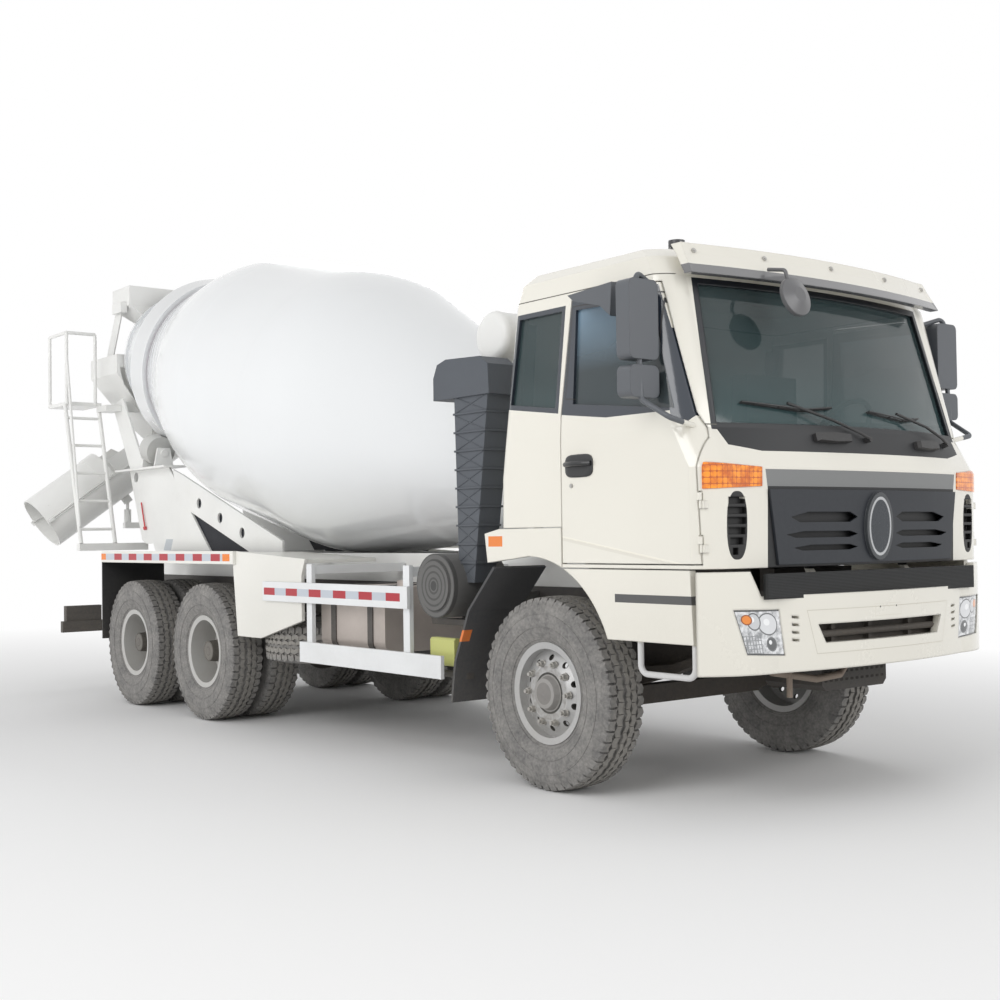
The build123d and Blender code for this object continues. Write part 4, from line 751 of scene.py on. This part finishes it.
for side_name, side in SIDES:
    door = f"door_{side_name}"
    bm = bmesh.new()
    pad(bm, [on_door(side, 0.400 + swell(math.cos(a)) * 0.110, 1.795 + swell(math.sin(a)) * 0.062)
             for a in (2 * math.pi * k / 24 for k in range(24))], 0.012, -0.002)
    spots = [on_door(side, 0.300 + 0.2 * k / 6, 1.805) for k in range(7)]
    tube(bm, [spot + normal * rise for (spot, normal), rise in zip(spots, PULL_BOW)], 0.014, 10)
    handle = piece(f"{door}_handle", bm, handle_black, door, smooth=35)
    bm = bmesh.new()
    spot, normal = on_door(side, 0.335, 1.690)
    tube(bm, [spot - normal * 0.004, spot + normal * 0.006], 0.012, 16)
    tube(bm, [spot + normal * 0.004, spot + normal * 0.008], 0.007, 12)
    lock = piece(f"{door}_lock", bm, steel_nut, door, smooth=35)

# ---------------------------------------------------------------------------
# Front panel: dark moulded grille with lens-shaped slots over mesh, and a
# plain round boss in a bright ring in its middle.


def grille_marks(s, place, x, y, z):
    ring, inner, core = (oval(y, z, (0, 1.450), radii) * (x > 1.40)
                         for radii in ((0.112, 0.178), (0.094, 0.155), (0.082, 0.140)))
    return [(ring, (0.05, 0.055, 0.06), 0.2), (inner, (0.50, 0.51, 0.52), 0.12),
            (core, (0.020, 0.026, 0.034), 0.25)]


grille_plastic = paint("grille_plastic", (0.007, 0.010, 0.016), rough=0.45, coat=0.05, dust=0.20, dust_top=2.4,
                       marks=grille_marks, round_edges=0.006, bump=0.05, dust_colour=(0.16, 0.17, 0.18))
dress(grille_plastic, "grille")

# ---------------------------------------------------------------------------
# Turn lamps: amber plastic mouldings with rows of small prisms inside, wrapped
# round the corners of the front panel and screwed to it.
amber_lens, shader, s = finish("amber_lens")
place, x, y, z = axes(s)
cell = oval(s.math("FRACT", y * 38.0 + 100.0), s.math("FRACT", z * 33.0), (0.5, 0.5), (0.46, 0.44), 4.0)
glow = grain(s, place, 22, 2)
deep = blend((0.62, 0.13, 0.004), (0.90, 0.30, 0.01), span(s, glow, 0.35, 0.62))
# painted glow: a weak amber emission in the prisms, though the lamps are not switched on
painted_glow = blend((0.16, 0.02, 0.0), (0.62, 0.17, 0.004), cell * span(s, glow, 0.35, 0.65))
feed(shader, Base_Color=blend((0.48, 0.09, 0.004), deep, cell), Roughness=span(s, glow, 0.3, 0.7, 0.10, 0.22),
     Coat_Weight=0.8, Emission_Color=painted_glow, Emission_Strength=0.30,
     Normal=s.node("Bump", Height=cell, Strength=0.25, Distance=0.003))
dress(amber_lens, "turn_lamps")

# ---------------------------------------------------------------------------
# Head lamps: clear lenses over a bright stepped reflector with painted glints and
# highlights, with an orange indicator bulb at the upper outer corner of the pot.
lamp_glass, shader, s = finish("lamp_glass")
place, x, y, z = axes(s)
wide = abs(y)
lean = wide - (z - 0.930) * 0.18
# painted reflection: glints that brighten the reflector in spots
glint = grain(s, place, 38, 3, 0.6)
colour = blend((0.30, 0.31, 0.32), (0.84, 0.85, 0.87), span(s, glint, 0.34, 0.62))
fluted = (z < 0.925) * (lean > 0.900)
colour = blend(colour, (0.24, 0.25, 0.26), fluted * (s.math("FRACT", lean * 62.0) < 0.28))
colour = blend(colour, (0.30, 0.31, 0.32), fluted * (s.math("FRACT", z * 48.0) < 0.22))
for middle, radii, inside in (((0.845, 0.975), (0.066, 0.056), (0.72, 0.73, 0.75)),
                              ((0.838, 0.875), (0.036, 0.036), (0.10, 0.105, 0.11)),
                              ((0.930, 0.990), (0.040, 0.044), (0.60, 0.61, 0.63))):
    colour = blend(colour, (0.16, 0.165, 0.17), oval(lean, z, middle, radii))
    colour = blend(colour, inside, oval(lean, z, middle, tuple(r - 0.007 for r in radii)))
    # a painted highlight near the top of each pot
    highlight_spot = (middle[0] + 0.008, middle[1] + 0.010)
    colour = blend(colour, (0.90, 0.91, 0.92), oval(lean, z, highlight_spot, tuple(r * 0.30 for r in radii)))
for radii, orange in (((0.030, 0.026), (0.30, 0.08, 0.02)), ((0.023, 0.020), (0.85, 0.26, 0.03))):
    colour = blend(colour, orange, oval(lean, z, (0.968, 1.000), radii))
outline = [(0.772, 1.036), (0.750, 0.822), (0.978, 0.838), (1.040, 1.041)]
colour = blend((0.075, 0.077, 0.08), colour, within(wide, z, outline))
feed(shader, Base_Color=colour, Metallic=0.30, Roughness=span(s, glint, 0.3, 0.7, 0.06, 0.20), Coat_Weight=1.0,
     Normal=s.node("Bump", Height=glint, Strength=0.12, Distance=0.006))
dress(lamp_glass, "headlamps")

# ---------------------------------------------------------------------------
# Front bumper: thick moulded panel in the cab's ivory, bolted to the rails,
# with a dark perforated tread on top between its raised corners.


def bumper_marks(s, place, x, y, z):
    wide, forward = abs(y), x > 1.3
    mesh_panel = (z > 1.0955) * (wide < 0.895) * between(x, 1.395, 1.430)
    # painted shade on the faces inside the slot, behind the bumper's front
    slot_shade = (wide < 0.45) * between(z, 0.98, 1.065) * (x < 1.36)
    # painted shade along a pressed crease on the bumper's face
    crease = rim(y, z, [(-0.60, 1.030), (-0.54, 0.815), (0.54, 0.815), (0.60, 1.030)], 0.004) * forward
    hole = abs(s.math("SINE", y * 420)) * abs(s.math("SINE", z * 420)) > 0.5
    plate = rim(y, z, [(-0.105, 0.985), (0.115, 0.985), (0.115, 1.045), (-0.105, 1.045)], 0.002) * forward
    screws = (oval(y, z, (-0.065, 1.030), (0.005, 0.005)) + oval(y, z, (0.075, 1.030), (0.005, 0.005))) * forward
    return [(mesh_panel, (0.007, 0.008, 0.009), 0.5), (mesh_panel * hole, (0.003, 0.003, 0.003), 0.9),
            (slot_shade, (0.05, 0.05, 0.05), 0.6), (crease, (0.58, 0.55, 0.47), 0.4),
            (plate, (0.66, 0.63, 0.54), 0.4), (screws, (0.05, 0.05, 0.05), 0.4)]


bumper_paint = paint("bumper_paint", IVORY, rough=0.24, coat=0.7, dust=0.16, dust_top=1.2, round_edges=0.018,
                     patchy=0.03, gloss=True, marks=bumper_marks)
dress(bumper_paint, "front_bumper")

# ---------------------------------------------------------------------------
# Behind the bumper: the radiator's intake screen and a steel cross tube show
# through the slot; a perforated guard is bolted below, behind a bent bar.


def add_block(bm, low, high, cut):
    """Adds a box between two corners given from the front axle, its edges along X cut off."""
    (x0, y0, z0), (x1, y1, z1) = low, high
    ring = [(y0 + cut, z0), (y1 - cut, z0), (y1, z0 + cut), (y1, z1 - cut), (y1 - cut, z1), (y0 + cut, z1),
            (y0, z1 - cut), (y0, z0 + cut)]
    skin(bm, [[bm.verts.new((front_axle_x + x, y, z)) for y, z in ring] for x in (x0, x1)], 0, 1)


def add_bar(bm, points, radius, sides=12):
    """Adds a round bar through points given from the front axle."""
    tube(bm, [(front_axle_x + x, y, z) for x, y, z in points], radius, sides)


back_x = in_front("front_bumper", 0.0, 1.040)[0].x - front_axle_x - 0.120
bm = bmesh.new()
add_block(bm, (back_x - 0.012, -0.640, 0.790), (back_x, 0.640, 1.075), 0.01)
for y in (-0.36, -0.05, 0.30):
    add_block(bm, (back_x, y, 0.800), (back_x + 0.030, y + 0.030, 1.060), 0.004)
add_bar(bm, [(back_x + 0.040, -0.50, 0.905), (back_x + 0.040, 0.50, 0.905)], 0.018)
screen = piece("bumper_screen", bm, axle_iron, "chassis", smooth=30)


def guard_holes(s, place, x, y, z):
    u, v = (s.math("FRACT", value * 22.0 + 50.0) for value in (y, z))
    return [(oval(u, v, (0.5, 0.5), (0.30, 0.16), 4.0) * between(z, 0.60, 0.72), (0.004, 0.004, 0.004), 0.9)]


guard_steel = paint("guard_steel", (0.040, 0.038, 0.036), rough=0.6, coat=0.0, dust=0.6, dust_top=1.4, bump=0.4,
                    dust_colour=(0.15, 0.13, 0.11), marks=guard_holes)
bm = bmesh.new()
add_block(bm, (0.720, -0.100, 0.560), (1.120, 0.470, 0.760), 0.03)
guard = piece("sump_guard", bm, guard_steel, "chassis", smooth=30)
bm = bmesh.new()
add_bar(bm, [(1.150, -0.55, 0.700), (1.160, -0.20, 0.640), (1.160, 0.00, 0.650), (1.150, 0.10, 0.730)], 0.020)
add_bar(bm, [(1.160, -0.42, 0.560), (1.160, -0.42, 0.740)], 0.016)
bar = piece("stabiliser_bar", bm, rust_steel, "chassis", smooth=40)

# ---------------------------------------------------------------------------
# Sun visor, front mirror and beacon: an ivory moulding on brackets with a
# smoked lower edge; bright screws; dark grey mirror and black lamp foot.


def visor_marks(s, place, x, y, z):
    smoked = (z < 2.785) * (x > 1.0)
    mirror_part = (z < 2.80) * between(y, -0.66, -0.40) * (x > 1.185)
    beacon = (x < 0.80) * (z > 2.90) * (y < -0.7)
    return [(smoked, (0.17, 0.17, 0.175), 0.25), (mirror_part, (0.13, 0.13, 0.135), 0.35),
            (beacon, (0.05, 0.05, 0.055), 0.3)]


visor_paint = paint("visor_paint", IVORY, rough=0.24, coat=0.7, dust=0.1, dust_top=3.0, round_edges=0.008,
                    patchy=0.03, gloss=True, marks=visor_marks)
dress(visor_paint, "sun_visor")
bm = bmesh.new()
for y in (-0.98, -0.52, 0.0, 0.52, 0.98):
    spot, normal = in_front("sun_visor", y, 2.860)
    tube(bm, [spot - normal * 0.004, spot + normal * 0.008], 0.014, 16)
    tube(bm, [spot + normal * 0.006, spot + normal * 0.013], 0.008, 6)
screws = piece("visor_screws", bm, steel_nut, "cab", smooth=35)

# ---------------------------------------------------------------------------
# Cab interior: a moulded grey instrument panel and seats in woven covers, which
# show through the glass.
trim = paint("cab_trim", (0.14, 0.145, 0.15), rough=0.6, coat=0.0, dust=0.1, bump=0.3,
             marks=lambda s, place, x, y, z: [
                 ((x < 0.60) * (grain(s, place, 90, 2) > 0.5), (0.09, 0.10, 0.12), 0.9)])
dress(trim, "interior")

# ---------------------------------------------------------------------------
# Mixer drum: rolled steel shell in white gloss, its ring machined bright and
# painted over; thin concrete splashes near the mouth.
DRUM_FOOT, DRUM_LEAN = (-0.945, 1.840), (-0.9724, 0.2334)  # its axis: ahead and up, and the way it points


def drum_marks(s, place, x, y, z):
    along = (x - DRUM_FOOT[0]) * DRUM_LEAN[0] + (z - DRUM_FOOT[1]) * DRUM_LEAN[1]
    splash = span(s, grain(s, place, 5, 6, 0.7), 0.60, 0.72) * span(s, x, -5.6, -6.6)
    scuffs = span(s, grain(s, scaled(s, place, (5, 1.2, 1.2)), 2.2, 4), 0.50, 0.60)
    rubbed = scuffs * between(along, 4.55, 5.19) * 0.45
    track = between(along, 5.22, 5.46)
    edge = between(along, 5.178, 5.200)
    return [(splash * 0.35, (0.60, 0.59, 0.56), 0.8), (rubbed, (0.62, 0.63, 0.66), 0.45),
            (track * 0.35, (0.60, 0.60, 0.60), 0.3), (edge, (0.22, 0.17, 0.20), 0.5)]


drum_paint = paint("drum_paint", WHITE, rough=0.20, coat=0.8, dust=0.06, dust_top=2.0, round_edges=0.006,
                   patchy=0.02, gloss=True, marks=drum_marks)
dress(drum_paint, "drum")

# ---------------------------------------------------------------------------
# Mixer body: frame, pedestals, water tank, hopper, chutes and ladder, welded
# of plate and tube in white paint, dusty and chipped where it is handled.


def worked_marks(s, place, x, y, z):
    chips = span(s, grain(s, place, 22, 5, 0.75), 0.68, 0.72) * 0.4
    grime = span(s, grain(s, place, 3.5, 6, 0.7), 0.55, 0.75) * 0.15
    label = within(x, z, [(-6.170, 1.335), (-6.010, 1.335), (-5.960, 1.440), (-6.110, 1.440)]) * (abs(y) > 0.58)
    return [(grime, (0.60, 0.58, 0.54), 0.6), (chips, (0.44, 0.42, 0.39), 0.7), (label, (0.50, 0.53, 0.56), 0.4)]


plate_paint = paint("plate_paint", (0.84, 0.84, 0.82), rough=0.34, coat=0.25, dust=0.14, dust_top=2.0,
                    dust_colour=(0.52, 0.50, 0.46), round_edges=0.004, bump=0.05, patchy=0.04, marks=worked_marks)
dress(plate_paint, "subframe", "rear_pedestal", "drum_drive", "water_tank", "hopper", "ladder", "chute_main",
      "chute_extension", "chute_swivel", "chute_post")
roller_steel = paint("roller_steel", (0.62, 0.62, 0.60), rough=0.4, coat=0.1, dust=0.3, metal=0.3, bump=0.1,
                     dust_top=2.6, dust_colour=(0.45, 0.43, 0.40))
dress(roller_steel, "roller_left", "roller_right")

# ---------------------------------------------------------------------------
# Fittings on the mixer body: near-black sheets that fill the openings of the pedestals
# with painted shade, and the red steel lever with a grip that locks the chute.
# near-black paint for the sheets of painted shade in the pedestals' openings
shade_sheet_paint = paint("shade_sheet_paint", (0.008, 0.010, 0.018), rough=0.6, coat=0.0, dust=0.15, dust_top=1.8, bump=0.1)
lever_red = paint("lever_red", (0.55, 0.03, 0.04), rough=0.35, coat=0.3, dust=0.1, bump=0.05)
OPENING = ((-6.080, 2.040), (-5.740, 1.985), (-4.400, 1.520), (-4.400, 1.318), (-5.330, 1.318))
for side_name, side in SIDES:
    bm = bmesh.new()
    skin(bm, [[bm.verts.new((front_axle_x + x, side * y, z)) for x, z in OPENING] for y in (0.556, 0.562)], 0, 1)
    shade_sheet = piece(f"pedestal_shade_sheet_{side_name}", bm, shade_sheet_paint, "chassis", smooth=30)
bm = bmesh.new()
add_bar(bm, [(-6.560, -0.600, 1.560), (-6.640, -0.600, 1.800)], 0.007, 10)
add_bar(bm, [(-6.552, -0.600, 1.535), (-6.560, -0.600, 1.562)], 0.017)
lever = piece("chute_lock_lever", bm, lever_red, "chassis", smooth=40)

# ---------------------------------------------------------------------------
# Brackets below the air filter: folded steel beams bolted to the rail, with a
# yellow-green valve box hung from them.
valve_paint = paint("valve_paint", (0.62, 0.64, 0.20), rough=0.5, coat=0.1, dust=0.4, dust_top=1.2, bump=0.1,
                    dust_colour=(0.55, 0.54, 0.40))
bm = bmesh.new()
for low, high in (((-1.100, -1.100, 0.885), (-0.740, -1.050, 0.925)),
                  ((-1.100, -1.100, 0.565), (-0.740, -1.050, 0.600)),
                  ((-0.790, -1.095, 0.590), (-0.750, -1.055, 0.895)),
                  ((-0.980, -1.060, 0.890), (-0.940, -0.440, 0.920)),
                  ((-0.980, -1.060, 0.570), (-0.940, -0.600, 0.595))):
    add_block(bm, low, high, 0.004)
brackets = piece("filter_brackets", bm, rail_paint, "chassis", smooth=30)
bm = bmesh.new()
add_block(bm, (-1.085, -1.125, 0.635), (-0.835, -1.060, 0.805), 0.012)
valve = piece("valve_box", bm, valve_paint, "chassis", smooth=30)

bpy.context.view_layer.update()
